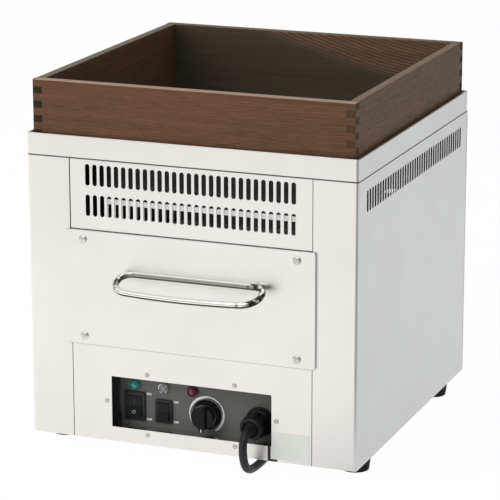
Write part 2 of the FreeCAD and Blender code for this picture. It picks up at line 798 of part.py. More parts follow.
def drawer_handle():
    """Closed ring of round bar: a straight back bar on the front and a bowed front bar."""
    a, rb, rf = handle_half_width, handle_back_radius, handle_front_radius
    bow_centre = V(0, handle_bow_radius - handle_reach, 0)
    corner_x = a - rf
    corner_y = bow_centre.y - math.sqrt((handle_bow_radius - rf) ** 2 - corner_x ** 2)
    corner = V(corner_x, corner_y, 0)
    way = (corner - bow_centre).normalize()
    bar_end = bow_centre + way * handle_bow_radius
    corner_mid = corner + (way + X_AXIS).normalize() * rf
    k = rb * (1 - math.sqrt(0.5))

    def left(point):
        """The mirrored point."""
        return V(-point.x, point.y, 0)

    back_end, side_top, back_mid = V(a - rb, 0, 0), V(a, -rb, 0), V(a - k, -k, 0)
    side_low = V(a, corner_y, 0)
    path = Part.Wire([
        Part.LineSegment(left(back_end), back_end).toShape(),
        Part.Arc(back_end, back_mid, side_top).toShape(),
        Part.LineSegment(side_top, side_low).toShape(),
        Part.Arc(side_low, corner_mid, bar_end).toShape(),
        Part.Arc(bar_end, V(0, -handle_reach, 0), left(bar_end)).toShape(),
        Part.Arc(left(bar_end), left(corner_mid), left(side_low)).toShape(),
        Part.LineSegment(left(side_low), left(side_top)).toShape(),
        Part.Arc(left(side_top), left(back_mid), left(back_end)).toShape(),
    ])
    circle = Part.Wire(Part.Circle(left(back_end), X_AXIS, handle_rod).toShape())
    ring = path.makePipeShell([circle], True, True)
    ring.rotate(V(0, 0, 0), X_AXIS, handle_tilt)
    ring.translate(V(handle_offset, drawer_face - handle_rod, stud_height()))
    return ring


def handle_studs():
    """Studs from the back bar through the drawer's front, with nuts inside."""
    studs = []
    z = stud_height()
    for x in stud_places():
        shank = stub(x, z, drawer_face, drawer_skin_back + stud_nut_height, stud_radius)
        nut = stub(x, z, drawer_skin_back, drawer_skin_back + stud_nut_height, stud_nut_radius)
        studs.append(joined(shank, nut))
    return studs


def drip_tray():
    """Pressed tray with sloped walls and a turned-out rim, loose in the drawer."""
    hx = drawer_box_half - sheet - tray_gap
    y0 = drawer_skin_back + sheet + tray_gap
    y1 = drawer_skin_back + drawer_box_depth - sheet - tray_gap
    middle = (y0 + y1) / 2
    hy = (y1 - y0) / 2
    z0 = drawer_box_bottom + sheet + run
    top = z0 + tray_height

    def tub(shrink, low, high):
        """Tapered solid of the tray."""
        upper = rounded_outline(hx - tray_rim - shrink, hy - tray_rim - shrink, tray_corner - shrink)
        upper.translate(V(0, middle, high))
        lower = rounded_outline(hx - tray_rim - tray_draft - shrink,
                                hy - tray_rim - tray_draft - shrink, tray_corner - shrink)
        lower.translate(V(0, middle, low))
        return Part.makeLoft([lower, upper], True, True)

    rim = slab(hx, hy, top - tray_sheet, top, tray_rim_corner)
    rim.translate(V(0, middle, 0))
    return joined(tub(0, z0, top), rim).cut(tub(tray_sheet, z0 + tray_sheet, top + 0.01))


def drawer_runner(side):
    """Angle on the deck: the drawer slides on its foot, beside its upright leg."""
    inner_face = drawer_box_half + 2 * run
    y0 = front + stile_hem + 5
    low, high = deck_top, drawer_box_bottom - run
    foot = block(inner_face - runner_foot, inner_face + runner_sheet, y0, y0 + runner_length, low, high)
    leg = block(inner_face, inner_face + runner_sheet, y0, y0 + runner_length, low, low + runner_height)
    runner = joined(foot, leg)
    if side < 0:
        runner = runner.mirror(V(0, 0, 0), X_AXIS)
    return runner


# ---------------------------------------------------------------- control tray
def plate_cutters():
    """What passes through the control plate and the tray's back."""
    y0, y1 = plate_face - 1, plate_back + sheet + 1
    cutters = []
    for place, size in ((main_switch_place, main_switch_size), (heater_switch_place, heater_switch_size)):
        x, z = place[0], body_bottom + place[1]
        hx = size[0] / 2 - switch_body_step + fit
        hz = size[1] / 2 - switch_body_step + fit
        cutters.append(block(x - hx, x + hx, y0, y1, z - hz, z + hz))
    for x in (power_lamp_x, supply_lamp_x, heat_lamp_x):
        cutters.append(stub(x, body_bottom + lamp_height, y0, y1, lamp_hole_radius + 0.1))
    cutters.append(stub(timer_place[0], body_bottom + timer_place[1], y0, y1, bushing_radius + 0.1))
    cutters.append(stub(inlet_place[0], body_bottom + inlet_place[1], y0, y1, inlet_body_radius + 0.1))
    return cutters


def control_tray():
    """Folded channel behind the window: lower lip, floor, back, ceiling and upper lip."""
    hx = window_half + fit
    y0, y1 = front + sheet, plate_back + sheet
    low, high = tray_floor, tray_ceiling
    floor = block(-hx, hx, y0, y1, low - sheet, low)
    wall = block(-hx, hx, plate_back, y1, low - sheet, high + sheet)
    ceiling = block(-hx, hx, y0, y1, high, high + sheet)
    lower_lip = block(-hx, hx, y0, y0 + sheet, body_bottom + flange + 2 * fit, low)
    upper_lip = block(-hx, hx, y0, y0 + sheet, high, high + tray_lip)
    return joined(floor, wall, ceiling, lower_lip, upper_lip).cut(plate_cutters())


def tray_end(side):
    """Dark cheek that closes one end of the tray."""
    inner = window_half + 2 * fit
    y0 = front + sheet
    cheek = block(inner, inner + sheet, y0, plate_back + sheet, tray_floor, tray_ceiling)
    ear = block(inner, inner + end_flange, y0, y0 + sheet, tray_floor + 3, tray_ceiling - 3)
    end = joined(cheek, ear)
    if side < 0:
        end = end.mirror(V(0, 0, 0), X_AXIS)
    return end


def control_plate():
    """Face plate of the tray, which everything is mounted on."""
    left, right = -window_half + 1.2, window_half
    plate = block(left, right, plate_face, plate_back, tray_floor, tray_ceiling)
    return plate.cut(plate_cutters())


def rivet_places():
    """Middles of the six rivets round the window."""
    top = body_bottom + window_bottom + window_height + rivet_offset
    bottom = body_bottom + window_bottom - rivet_offset
    places = [(x, z) for x in (-rivet_spacing / 2, rivet_spacing / 2) for z in (bottom, top)]
    side = window_half + rivet_offset
    return places + [(-side, window_middle), (side, window_middle)]


def tray_rivets():
    """Low bevelled rivets on the front face."""
    return [low_head(x, z, front, rivet_radius, -rivet_height) for x, z in rivet_places()]


def keeper_strip():
    """Thin black strip from the tray's floor over the sill and down the lower panel."""
    x1 = window_half - window_corner - fit
    x0 = x1 - keeper_width
    gap = fit
    thick = 1.0
    sill = body_bottom + window_bottom + gap
    tab = block(x0, x1, front + sheet + gap, front + sheet + gap + 8, tray_floor, tray_floor + thick)
    riser = block(x0, x1, front + sheet + gap, front + sheet + gap + thick, tray_floor, sill + thick)
    top = block(x0, x1, front - gap - thick, front + sheet + gap + thick, sill, sill + thick)
    low = body_bottom + gap
    leg = block(x0 + 1.2, x1, front - gap - thick, front - gap, low, sill + thick)
    toe = block(x0 + 1.2, x1 + 8, front - gap - thick, front - gap, low, low + 2.0)
    return joined(tab, riser, top, leg, toe)


def switch_bezel(place, size, rocker_size):
    """Bezel and body of a rocker switch in one piece, with the well and pivot holes."""
    x, z = place[0], body_bottom + place[1]
    face = plate_face - bezel_height
    bezel = front_plate(size[0] / 2, size[1] / 2, face, bezel_height, bezel_round, x, z)
    bezel = bezel.makeFillet(0.6, [e for e in bezel.Edges if abs(e.BoundBox.YMax - face) < 0.01])
    bx, bz = size[0] / 2 - switch_body_step, size[1] / 2 - switch_body_step
    body = block(x - bx, x + bx, plate_face, plate_face + switch_body_depth, z - bz, z + bz)
    wx, wz = rocker_size[0] / 2 + rocker_gap, rocker_size[1] / 2 + rocker_gap
    pivot = face + rocker_pivot_depth
    well = block(x - wx, x + wx, face - 1, pivot + rocker_body + 3, z - wz, z + wz)
    bore = rod(V(x - wx - pin_length - 0.1, pivot, z), V(x + wx + pin_length + 0.1, pivot, z),
               pin_radius + pin_clearance)
    legs = [block(x + dx - 3, x + dx + 3, plate_face + switch_body_depth - 0.1,
                  plate_face + switch_body_depth + 8, z + dz - 0.4, z + dz + 0.4)
            for dx in (0,) for dz in (-bz * 0.6, 0, bz * 0.6)]
    return joined(bezel, body, *legs).cut([well, bore])


def rocker(place, rocker_size):
    """Rocker with a dished face and round ends, tipped to its rest position, with pivot pins."""
    x, z = place[0], body_bottom + place[1]
    w, h = rocker_size
    face = plate_face - bezel_height
    pivot = V(x, face + rocker_pivot_depth, z)
    drum = rod(V(x - w / 2, pivot.y, z), V(x + w / 2, pivot.y, z), h / 2)
    out = face - rocker_rise
    dish = out + rocker_dish
    points = [V(0, out, z - h / 2), V(0, dish, z), V(0, out, z + h / 2),
              V(0, pivot.y + rocker_body, z + h / 2), V(0, pivot.y + rocker_body, z - h / 2)]
    profile = Part.Face(Part.makePolygon(points + [points[0]]))
    profile.translate(V(x - w / 2, 0, 0))
    body = profile.extrude(V(w, 0, 0)).common(drum)
    reach = w / 2 + rocker_gap + pin_length
    pins = rod(V(x - reach, pivot.y, z), V(x + reach, pivot.y, z), pin_radius)
    solid = joined(body, pins)
    solid.rotate(pivot, X_AXIS, -rocker_angle)
    return solid


def lamp_lens(x):
    """Domed lens with a stem through the plate."""
    z = body_bottom + lamp_height
    dome = (lamp_radius ** 2 + lamp_dome ** 2) / (2 * lamp_dome)
    ball = Part.makeSphere(dome, V(x, plate_face - lamp_collar - lamp_dome + dome, z))
    cap = ball.common(stub(x, z, plate_face - lamp_collar - lamp_dome, plate_face - lamp_collar,
                           lamp_radius - 1.4))
    stem = stub(x, z, plate_face - lamp_collar, plate_back + sheet + 1, lamp_hole_radius - 0.4)
    return joined(cap, stem)


def lamp_collars():
    """Rings round the three lenses."""
    z = body_bottom + lamp_height
    rings = []
    for x in (power_lamp_x, supply_lamp_x, heat_lamp_x):
        r0, r1 = lamp_radius - 1.3, lamp_radius
        y = plate_face
        outline = [(r0, y - 3.0), (r0 + 0.6, y - 3.4), (r1, y - 1.8), (r1, y), (lamp_hole_radius - 0.3, y),
                   (lamp_hole_radius - 0.3, y - lamp_collar + 0.1), (r0, y - lamp_collar + 0.1)]
        rings.append(revolved(outline, x, z))
    return rings


def lamp_bodies():
    """Sleeves of the three lamps behind the tray, each with a clamping nut."""
    z = body_bottom + lamp_height
    y0 = plate_back + sheet
    bodies = []
    for x in (power_lamp_x, supply_lamp_x, heat_lamp_x):
        sleeve = stub(x, z, y0, y0 + lamp_body_length, lamp_hole_radius + 0.8)
        nut = stub(x, z, y0, y0 + 3, lamp_hole_radius + 3)
        bore = stub(x, z, y0 - 1, y0 + lamp_body_length - 2, lamp_hole_radius - 0.3)
        bodies.append(joined(sleeve, nut).cut(bore))
    return bodies


def timer_knob():
    """Knob with a skirt, a tapered body and a raised pointer grip that points down at rest."""
    x, z = timer_place[0], body_bottom + timer_place[1]
    base = plate_face - run
    skirt_top = base - knob_skirt_height
    top = base - knob_height
    outline = [(0, base), (knob_skirt_radius, base),
               (knob_skirt_radius, base - knob_skirt_height * 0.4),
               (knob_skirt_radius - 1.5, skirt_top), (knob_body_radius, skirt_top - 0.6),
               (knob_body_radius - 1.2, top), (0, top)]
    turned = revolved(outline, x, z)
    w = knob_grip_width / 2
    reach = knob_skirt_radius
    tip = [V(-w, 0, reach - 6), V(-w, 0, -reach + 6), V(0, 0, -reach), V(w, 0, -reach + 6),
           V(w, 0, reach - 6)]
    sides = [Part.LineSegment(tip[i], tip[i + 1]).toShape() for i in range(4)]
    crown = Part.Arc(tip[4], V(0, 0, reach - 3), tip[0]).toShape()
    grip = Part.Face(Part.Wire(sides + [crown])).extrude(V(0, skirt_top - top + knob_grip_rise, 0))
    grip.translate(V(x, top - knob_grip_rise, z))
    bore = stub(x, z, base - knob_bore_depth, base + 1, shaft_radius)
    return joined(turned, grip).cut(bore)


def timer_shaft():
    """Shaft from the knob into the timer."""
    x, z = timer_place[0], body_bottom + timer_place[1]
    return stub(x, z, plate_face - run - knob_bore_depth, plate_back + sheet + shaft_reach, shaft_radius)


def timer_body():
    """Clockwork timer behind the tray, with the threaded bushing that carries the shaft."""
    x, z = timer_place[0], body_bottom + timer_place[1]
    w, d, h = timer_body_size
    y0 = plate_back + sheet
    case = block(x - w / 2, x + w / 2, y0, y0 + d, z - h / 2, z + h / 2)
    upright = [e for e in case.Edges if e.BoundBox.YLength > d - 1]
    case = case.makeFillet(timer_case_corner, upright)
    bushing = stub(x, z, plate_face, y0 + 1, bushing_radius)
    bore = stub(x, z, plate_face - 1, y0 + shaft_reach + 1, shaft_radius + shaft_clearance)
    tab_width, tab_length, tab_thickness = timer_tab_size
    tab_low = z - timer_tab_drop - tab_thickness / 2
    tab = block(x - tab_width / 2, x + tab_width / 2, y0 + d - 0.1, y0 + d + tab_length,
                tab_low, tab_low + tab_thickness)
    tabs = [tab.translated(V(side * timer_tab_pitch, 0, 0)) for side in (-1, 0, 1)]
    return joined(case, bushing, *tabs).cut(bore)


def inlet_flange():
    """Panel inlet for the lead: a round flange on the plate and a body behind it."""
    x, z = inlet_place[0], body_bottom + inlet_place[1]
    y0 = connector_start
    outline = [(0, y0), (inlet_radius - 1.2, y0), (inlet_radius, y0 + 1.2), (inlet_radius, plate_face),
               (inlet_body_radius, plate_face), (inlet_body_radius, plate_face + inlet_body_length),
               (0, plate_face + inlet_body_length)]
    blades = [block(x + dx - 0.5, x + dx + 0.5, plate_face + inlet_body_length - 0.1,
                    plate_face + inlet_body_length + 8, z - 3, z + 3) for dx in (-7, 0, 7)]
    return joined(revolved(outline, x, z), *blades)


def cord_connector():
    """Round locking connector with a waist, a grip groove and a dished end face."""
    x, z = inlet_place[0], body_bottom + inlet_place[1]
    y0, y1 = connector_start, connector_face
    rb, rf, g = connector_back_radius, connector_face_radius, connector_groove
    floor = y1 + collar_depth
    outline = [(0, y0), (rb, y0), (rb, y0 - 6), (rb - g, y0 - 7), (rb - g, y0 - 9), (rb - 0.3, y0 - 10),
               (rf + 1.6, y1 + 5), (rf, y1 + 1.2), (rf - 1.2, y1), (rf - 2.6, y1),
               (collar_radius + 0.6, floor), (0, floor)]
    body = revolved(outline, x, z)
    rib = block(-1.2, 1.2, y1 + 7, y0 - 11, rf + 0.6, rb)
    ribs = []
    for index in range(8):
        copy = rib.copy()
        copy.rotate(V(0, 0, 0), Y_AXIS, 45 * index + 22.5)
        copy.translate(V(x, 0, z))
        ribs.append(copy)
    return body.cut(ribs)


def connector_collar():
    """Grommet in the connector's recessed end, where the lead leaves it."""
    x, z = inlet_place[0], body_bottom + inlet_place[1]
    y0 = connector_face + collar_depth
    outline = [(0, y0), (collar_radius, y0), (collar_radius - 0.4, y0 - 1.5),
               (lead_radius + 0.6, collar_tip), (0, collar_tip)]
    return revolved(outline, x, z)


# ---------------------------------------------------------------- inside the control compartment
def terminal_block():
    """Row of terminals on the pan."""
    w, d, h = terminal_block_size
    x, y = terminal_block_place[0] - half, terminal_block_place[1]
    z0 = body_bottom + sheet
    base = block(x - w / 2, x + w / 2, y - d / 2, y + d / 2, z0, z0 + h)
    pitch = w / terminal_ways
    pocket = block(x - pitch / 2 + 1, x + pitch / 2 - 1, y - d / 2 + 3, y + d / 2 - 3, z0 + h - 6, z0 + h + 1)
    return base.cut(row_of(pocket, terminal_ways, pitch, X_AXIS))


def contactor():
    """Heater contactor on a foot plate on the pan."""
    w, d, h = contactor_size
    x, y = half - contactor_place[0], contactor_place[1]
    z0 = body_bottom + sheet
    foot = block(x - w / 2 - 5, x + w / 2 + 5, y - d / 2, y + d / 2, z0, z0 + 4)
    case = block(x - w / 2, x + w / 2, y - d / 2, y + d / 2, z0, z0 + h - 12)
    head = block(x - w / 2, x + w / 2, y - d / 4, y + d / 4, z0, z0 + h)
    return joined(foot, case, head)


# ---------------------------------------------------------------- feet and screws
def foot_places():
    """Middles of the four feet."""
    x = half - foot_side_inset
    return [(s * x, y) for s in (-1, 1) for y in (front + front_foot_inset, back - rear_foot_inset)]


def feet():
    """Tapered rubber feet with a recess for the screw."""
    shapes = []
    for x, y in foot_places():
        cone = Part.makeCone(foot_bottom_radius, foot_top_radius, foot_height, V(x, y, 0))
        recess = Part.makeCylinder(foot_recess_radius, foot_recess_depth, V(x, y, -0.0))
        hole = Part.makeCylinder(foot_screw_radius + 0.1, foot_height, V(x, y, 0))
        shapes.append(cone.cut([recess, hole]))
    return shapes


def foot_screws():
    """Pan-head screws up through the feet and the pan."""
    shapes = []
    for x, y in foot_places():
        head = Part.makeCylinder(foot_recess_radius - foot_screw_head_gap, foot_screw_head_height,
                                 V(x, y, foot_recess_depth - foot_screw_head_height))
        shank = Part.makeCylinder(foot_screw_radius, foot_height - foot_recess_depth + sheet + foot_screw_end,
                                  V(x, y, foot_recess_depth - 0.1))
        shapes.append(joined(head, shank))
    return shapes


def back_screw_places():
    """Middles of the rear panel's screws."""
    x = half - rear_return / 2
    return [(s * x, z) for s in (-1, 1)
            for z in (body_bottom + back_screw_inset, (body_bottom + body_top) / 2,
                      body_top - back_screw_inset)]


def back_screws():
    """Pan heads on the rear panel."""
    return [low_head(x, z, back, back_screw_radius, back_screw_height)
            for x, z in back_screw_places()]


# ---------------------------------------------------------------- mains lead
lead_points = [
    (inlet_place[0], collar_tip, body_bottom + inlet_rise),
    (inlet_place[0], collar_tip - lead_reach, body_bottom + inlet_rise),
    (inlet_place[0] + 1.0, collar_tip - lead_drop_reach, 23.0),
    (77.4, -222.0, 4.8),
    (79.0, -178.0, 4.8),
    (73.0, -95.0, 4.8),
    (86.0, 25.0, 4.8),
    (71.0, 125.0, 4.8),
    (62.0, 205.0, 4.8),
    (60.0, 268.0, 4.8),
]


def coil_centre():
    """Middle of the coil; the lead comes in along its right side."""
    return V(lead_points[-1][0] - outer_turn, back + coil_gap + coil_reach, 0)


def lead_path(points):
    """Straight runs through the points, joined by tangent arcs as large as the runs allow."""
    edges = []
    radii = []
    start = points[0]
    for before, corner, after in zip(points, points[1:], points[2:]):
        run_in, run_out = corner - before, after - corner
        half_turn = run_in.getAngle(run_out) / 2
        trim = 0.45 * min(run_in.Length, run_out.Length)
        radius = trim / math.tan(half_turn)
        radii.append(radius)
        run_in.normalize()
        run_out.normalize()
        arc_start, arc_end = corner - run_in * trim, corner + run_out * trim
        to_centre = (run_out - run_in).normalize()
        arc_middle = corner + to_centre * (radius / math.cos(half_turn) - radius)
        edges.append(Part.LineSegment(start, arc_start).toShape())
        edges.append(Part.Arc(arc_start, arc_middle, arc_end).toShape())
        start = arc_end
    edges.append(Part.LineSegment(start, points[-1]).toShape())
    print("lead bends, in lead diameters:", [round(r / (2 * lead_radius), 1) for r in radii])
    return Part.Wire(edges)


def mains_lead():
    """The lead from its collar to the coil behind the cabinet, and its tail from coil to plug."""
    points = [V(*point) for point in lead_points]
    wire = lead_path(points)
    circle = Part.Wire(Part.Circle(points[0], Y_AXIS, lead_radius).toShape())
    tube = wire.makePipeShell([circle], True, True)
    straight = math.pi * lead_radius ** 2 * wire.Length
    print("lead run %.1f mm, swept volume over section times length %.4f"
          % (wire.Length, tube.Volume / straight))
    start, way = tail_start()
    return tube, rod(start, start + way * tail_length, lead_radius)


def tail_start():
    """Where the tail leaves the coil's top layer, and which way it goes."""
    angle = math.radians(tail_angle)
    out = V(math.cos(angle), math.sin(angle), 0)
    height = V(0, 0, coil_height - lead_radius)
    return coil_centre() + out * coil_radius + height, V(-out.y, out.x, 0)


def lead_coil():
    """Outer shape of the coiled lead: a ring with round edges, stepped in at its top layer."""
    step = 2 * lead_radius
    top_reach = coil_hole + coil_top_turns * step
    outline = [V(coil_hole, 0, 0), V(coil_reach, 0, 0), V(coil_reach, 0, step * 0.6),
               V(top_reach, 0, coil_height), V(coil_hole, 0, coil_height)]
    ring = Part.Face(Part.makePolygon(outline + [outline[0]])).revolve(V(0, 0, 0), Z_AXIS, 360)
    ring.translate(coil_centre())
    return ring


def wall_plug():
    """Moulded plug lying at the end of the tail, with two flat blades and a round earth pin."""
    w, n = plug_half_width, plug_nose_half
    back_face = rounded_outline(lead_radius + 2.2, lead_radius + 2.2, 5.0)
    shoulder = rounded_outline(w, n, 6.0)
    shoulder.translate(V(0, 0, plug_length * 0.45))
    nose = rounded_outline(w, n, 6.0)
    nose.translate(V(0, 0, plug_length))
    body = Part.makeLoft([back_face, shoulder], True, True)
    body = body.fuse(Part.makeLoft([shoulder, nose], True, True))
    bw, bt, bl = plug_blade
    pieces = []
    for side in (-1, 1):
        middle = side * plug_blade_spacing / 2
        pieces.append(block(middle - bt / 2, middle + bt / 2, 0, bw, plug_length - 1, plug_length + bl))
    pin = Part.makeCylinder(earth_pin_radius, bl + 3, V(0, -plug_nose_half * 0.5, plug_length - 1))
    plug = joined(body, pin, *pieces)
    plug.rotate(V(0, 0, 0), X_AXIS, 90)
    plug.rotate(V(0, 0, 0), Z_AXIS, 90 + tail_angle + 90)
    start, way = tail_start()
    end = start + way * tail_length
    plug.translate(end)
    return plug


def main():
    """Build and write every node."""
    os.makedirs("parts", exist_ok=True)
    save("left_side_panel", side_panel(-1))
    save("right_side_panel", side_panel(1))
    save("back_panel", back_panel())
    save("base_pan", base_pan())
    save("vent_panel", vent_panel())
    save("vent_baffle", vent_baffle())
    save("drawer_head_rail", head_rail())
    save("lower_panel", lower_panel())
    save("drawer_deck", drawer_deck())
    save("top_cover", top_cover())
    save("guard_gasket", guard_gasket())
    for name, board in zip(("front", "back", "left", "right"), guard_boards()):
        save("guard_%s_board" % name, board)
    save("chamber_liner", chamber_liner())
    for name, pair in zip(("front", "middle", "rear"), heater_rows()):
        save("%s_heater" % name, heater(pair))
    save("heater_terminals", *heater_terminals())
    save("heater_rests", *heater_rests())
    save("roasting_grate", grate())
    save("drawer_front", drawer_front())
    save("drawer_box", drawer_box())
    save("drawer_screws", *drawer_screws())
    save("drawer_handle", drawer_handle())
    save("handle_studs", *handle_studs())
    save("drip_tray", drip_tray())
    save("left_runner", drawer_runner(-1))
    save("right_runner", drawer_runner(1))
    save("control_tray", control_tray())
    save("left_tray_end", tray_end(-1))
    save("right_tray_end", tray_end(1))
    save("control_plate", control_plate())
    save("tray_rivets", *tray_rivets())
    save("keeper_strip", keeper_strip())
    save("main_switch", switch_bezel(main_switch_place, main_switch_size, main_rocker_size))
    save("main_rocker", rocker(main_switch_place, main_rocker_size))
    save("heater_switch", switch_bezel(heater_switch_place, heater_switch_size, heater_rocker_size))
    save("heater_rocker", rocker(heater_switch_place, heater_rocker_size))
    save("power_lamp", lamp_lens(power_lamp_x))
    save("supply_lamp", lamp_lens(supply_lamp_x))
    save("heat_lamp", lamp_lens(heat_lamp_x))
    save("lamp_collars", *lamp_collars())
    save("lamp_bodies", *lamp_bodies())
    save("timer_knob", timer_knob())
    save("timer_shaft", timer_shaft())
    save("timer_body", timer_body())
    save("inlet_flange", inlet_flange())
    save("cord_connector", cord_connector())
    save("connector_collar", connector_collar())
    save("terminal_block", terminal_block())
    save("contactor", contactor())
    save("feet", *feet())
    save("foot_screws", *foot_screws())
    save("back_screws", *back_screws())
    save("mains_lead", *mains_lead())
    save("lead_coil", lead_coil())
    save("wall_plug", wall_plug())


main()
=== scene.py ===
"""Finishes and fine detail of a counter-top electric fish roaster, laid out as an add-on."""
import math

import bmesh
import bpy
from mathutils import Matrix, Vector


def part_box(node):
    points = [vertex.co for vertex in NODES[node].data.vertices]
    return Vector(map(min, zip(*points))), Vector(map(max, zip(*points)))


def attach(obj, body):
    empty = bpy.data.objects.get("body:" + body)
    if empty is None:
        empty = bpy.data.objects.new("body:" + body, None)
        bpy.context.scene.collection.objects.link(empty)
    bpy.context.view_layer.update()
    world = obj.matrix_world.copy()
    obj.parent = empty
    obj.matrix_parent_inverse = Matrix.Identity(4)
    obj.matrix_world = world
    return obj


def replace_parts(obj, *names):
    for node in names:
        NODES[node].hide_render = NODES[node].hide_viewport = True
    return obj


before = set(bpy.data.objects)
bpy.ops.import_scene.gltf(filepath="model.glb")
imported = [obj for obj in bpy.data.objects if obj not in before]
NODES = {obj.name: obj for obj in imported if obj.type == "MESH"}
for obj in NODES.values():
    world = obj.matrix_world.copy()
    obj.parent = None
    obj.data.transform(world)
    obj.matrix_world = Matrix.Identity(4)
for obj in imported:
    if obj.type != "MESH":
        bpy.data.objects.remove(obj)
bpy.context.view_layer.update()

bl_info = {
    "name": "Electric Fish Roaster",
    "version": (1, 0, 0),
    "blender": (4, 5, 0),
    "location": "3D View > Sidebar > Roaster",
    "description": "Finishes and fine detail of a counter-top electric fish roaster",
    "category": "Object",
}

MM = 0.001


# ---------------- places on the frame
def middle(node):
    """Middle of a node's box."""
    low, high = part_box(node)
    return (low + high) / 2


def size_of(node):
    """Size of a node's box."""
    low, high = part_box(node)
    return high - low


PLATE_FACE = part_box("control_plate")[0].y
FRONT_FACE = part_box("lower_panel")[0].y
AHEAD = FRONT_FACE - 0.1     # clear of everything on the front
HALF_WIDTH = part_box("right_side_panel")[1].x
COVER_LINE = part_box("top_cover")[0].z
VENT_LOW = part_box("vent_panel")[0]


# ---------------- settings
class RoasterFinishes(bpy.types.PropertyGroup):
    """Colours and grain of the roaster's surfaces."""

    steel_tint: bpy.props.FloatVectorProperty(
        name="Steel tint", description="Colour of the satin stainless sheet",
        subtype="COLOR", size=3, default=(0.86, 0.85, 0.83))
    steel_roughness: bpy.props.FloatProperty(
        name="Steel roughness", description="How dull the satin sheet is",
        subtype="FACTOR", min=0.05, max=1.0, default=0.36)
    hairline_width: bpy.props.FloatProperty(
        name="Hairline width", description="Spacing of the brushed lines in the sheet",
        subtype="DISTANCE", unit="LENGTH", default=0.5 * MM)
    wood_dark: bpy.props.FloatVectorProperty(
        name="Dark wood", description="Colour of the hard summer rings",
        subtype="COLOR", size=3, default=(0.052, 0.024, 0.011))
    wood_light: bpy.props.FloatVectorProperty(
        name="Light wood", description="Colour between the rings",
        subtype="COLOR", size=3, default=(0.150, 0.074, 0.038))
    ring_spacing: bpy.props.FloatProperty(
        name="Ring spacing", description="Distance from one growth ring to the next",
        subtype="DISTANCE", unit="LENGTH", default=3.2 * MM)
    plate_tint: bpy.props.FloatVectorProperty(
        name="Control plate", description="Paint on the control plate",
        subtype="COLOR", size=3, default=(0.104, 0.106, 0.101))
    ink_tint: bpy.props.FloatVectorProperty(
        name="Printing", description="Ink of the captions and the timer's scale",
        subtype="COLOR", size=3, default=(0.95, 0.95, 0.93))
    green_tint: bpy.props.FloatVectorProperty(
        name="Power lens", description="Tint of the first pilot lens",
        subtype="COLOR", size=3, default=(0.04, 0.32, 0.27))
    red_tint: bpy.props.FloatVectorProperty(
        name="Heating lens", description="Tint of the third pilot lens",
        subtype="COLOR", size=3, default=(0.16, 0.026, 0.045))


class RoasterDetails(bpy.types.PropertyGroup):
    """Sizes of the fine detail on the control plate and the lead."""

    caption_height: bpy.props.FloatProperty(
        name="Caption height", description="Height of ON and OFF beside the switches",
        subtype="DISTANCE", unit="LENGTH", default=2.9 * MM)
    ink_thickness: bpy.props.FloatProperty(
        name="Ink thickness", description="How far the printing stands on its plate",
        subtype="DISTANCE", unit="LENGTH", default=0.08 * MM)
    scale_radius: bpy.props.FloatProperty(
        name="Scale radius", description="Outer radius of the timer's scale",
        subtype="DISTANCE", unit="LENGTH", default=22.0 * MM)
    lead_diameter: bpy.props.FloatProperty(
        name="Lead diameter", description="Outside of the mains lead",
        subtype="DISTANCE", unit="LENGTH", default=9.6 * MM)


class RoasterStage(bpy.types.PropertyGroup):
    """Floor and lamps."""

    floor_size: bpy.props.FloatProperty(
        name="Floor size", description="Side of the pale floor",
        subtype="DISTANCE", unit="LENGTH", default=16.0)
    key_power: bpy.props.FloatProperty(
        name="Key lamp", description="Power of the large soft lamp at the left",
        unit="POWER", default=95.0)
    top_power: bpy.props.FloatProperty(
        name="Top lamp", description="Power of the narrow lamp overhead",
        unit="POWER", default=10.0)
    ambient: bpy.props.FloatProperty(
        name="Ambient", description="Light that the surroundings give to matte surfaces",
        min=0.0, max=2.0, default=0.42)
    paper: bpy.props.FloatProperty(
        name="Paper", description="Share of the floor's look that takes no shadow",
        subtype="FACTOR", min=0.0, max=1.0, default=0.955)


# ---------------- shader writing
def arithmetic(operation, swapped=False):
    """An operator of Value, written as one Math node."""
    def operator(self, *others):
        operands = (*others, self) if swapped else (self, *others)
        return self.math(operation, *operands)
    return operator


class Value:
    """A shader socket that takes part in arithmetic."""

    def __init__(self, shading, socket):
        self.shading = shading
        self.socket = socket

    def math(self, operation, *operands, clamp=False):
        """A Math node on these operands."""
        settings = {"operation": operation, "use_clamp": clamp}
        return self.shading.node("ShaderNodeMath", settings, dict(enumerate(operands)))

    __add__ = __radd__ = arithmetic("ADD")
    __sub__ = arithmetic("SUBTRACT")
    __rsub__ = arithmetic("SUBTRACT", swapped=True)
    __mul__ = __rmul__ = arithmetic("MULTIPLY")
    __truediv__ = arithmetic("DIVIDE")
    __rtruediv__ = arithmetic("DIVIDE", swapped=True)
    __pow__ = arithmetic("POWER")
    __abs__ = arithmetic("ABSOLUTE")

    def __neg__(self):
        return self * -1.0

    def clipped(self):
        """The value held between 0 and 1."""
        return self.math("ADD", self, 0.0, clamp=True)


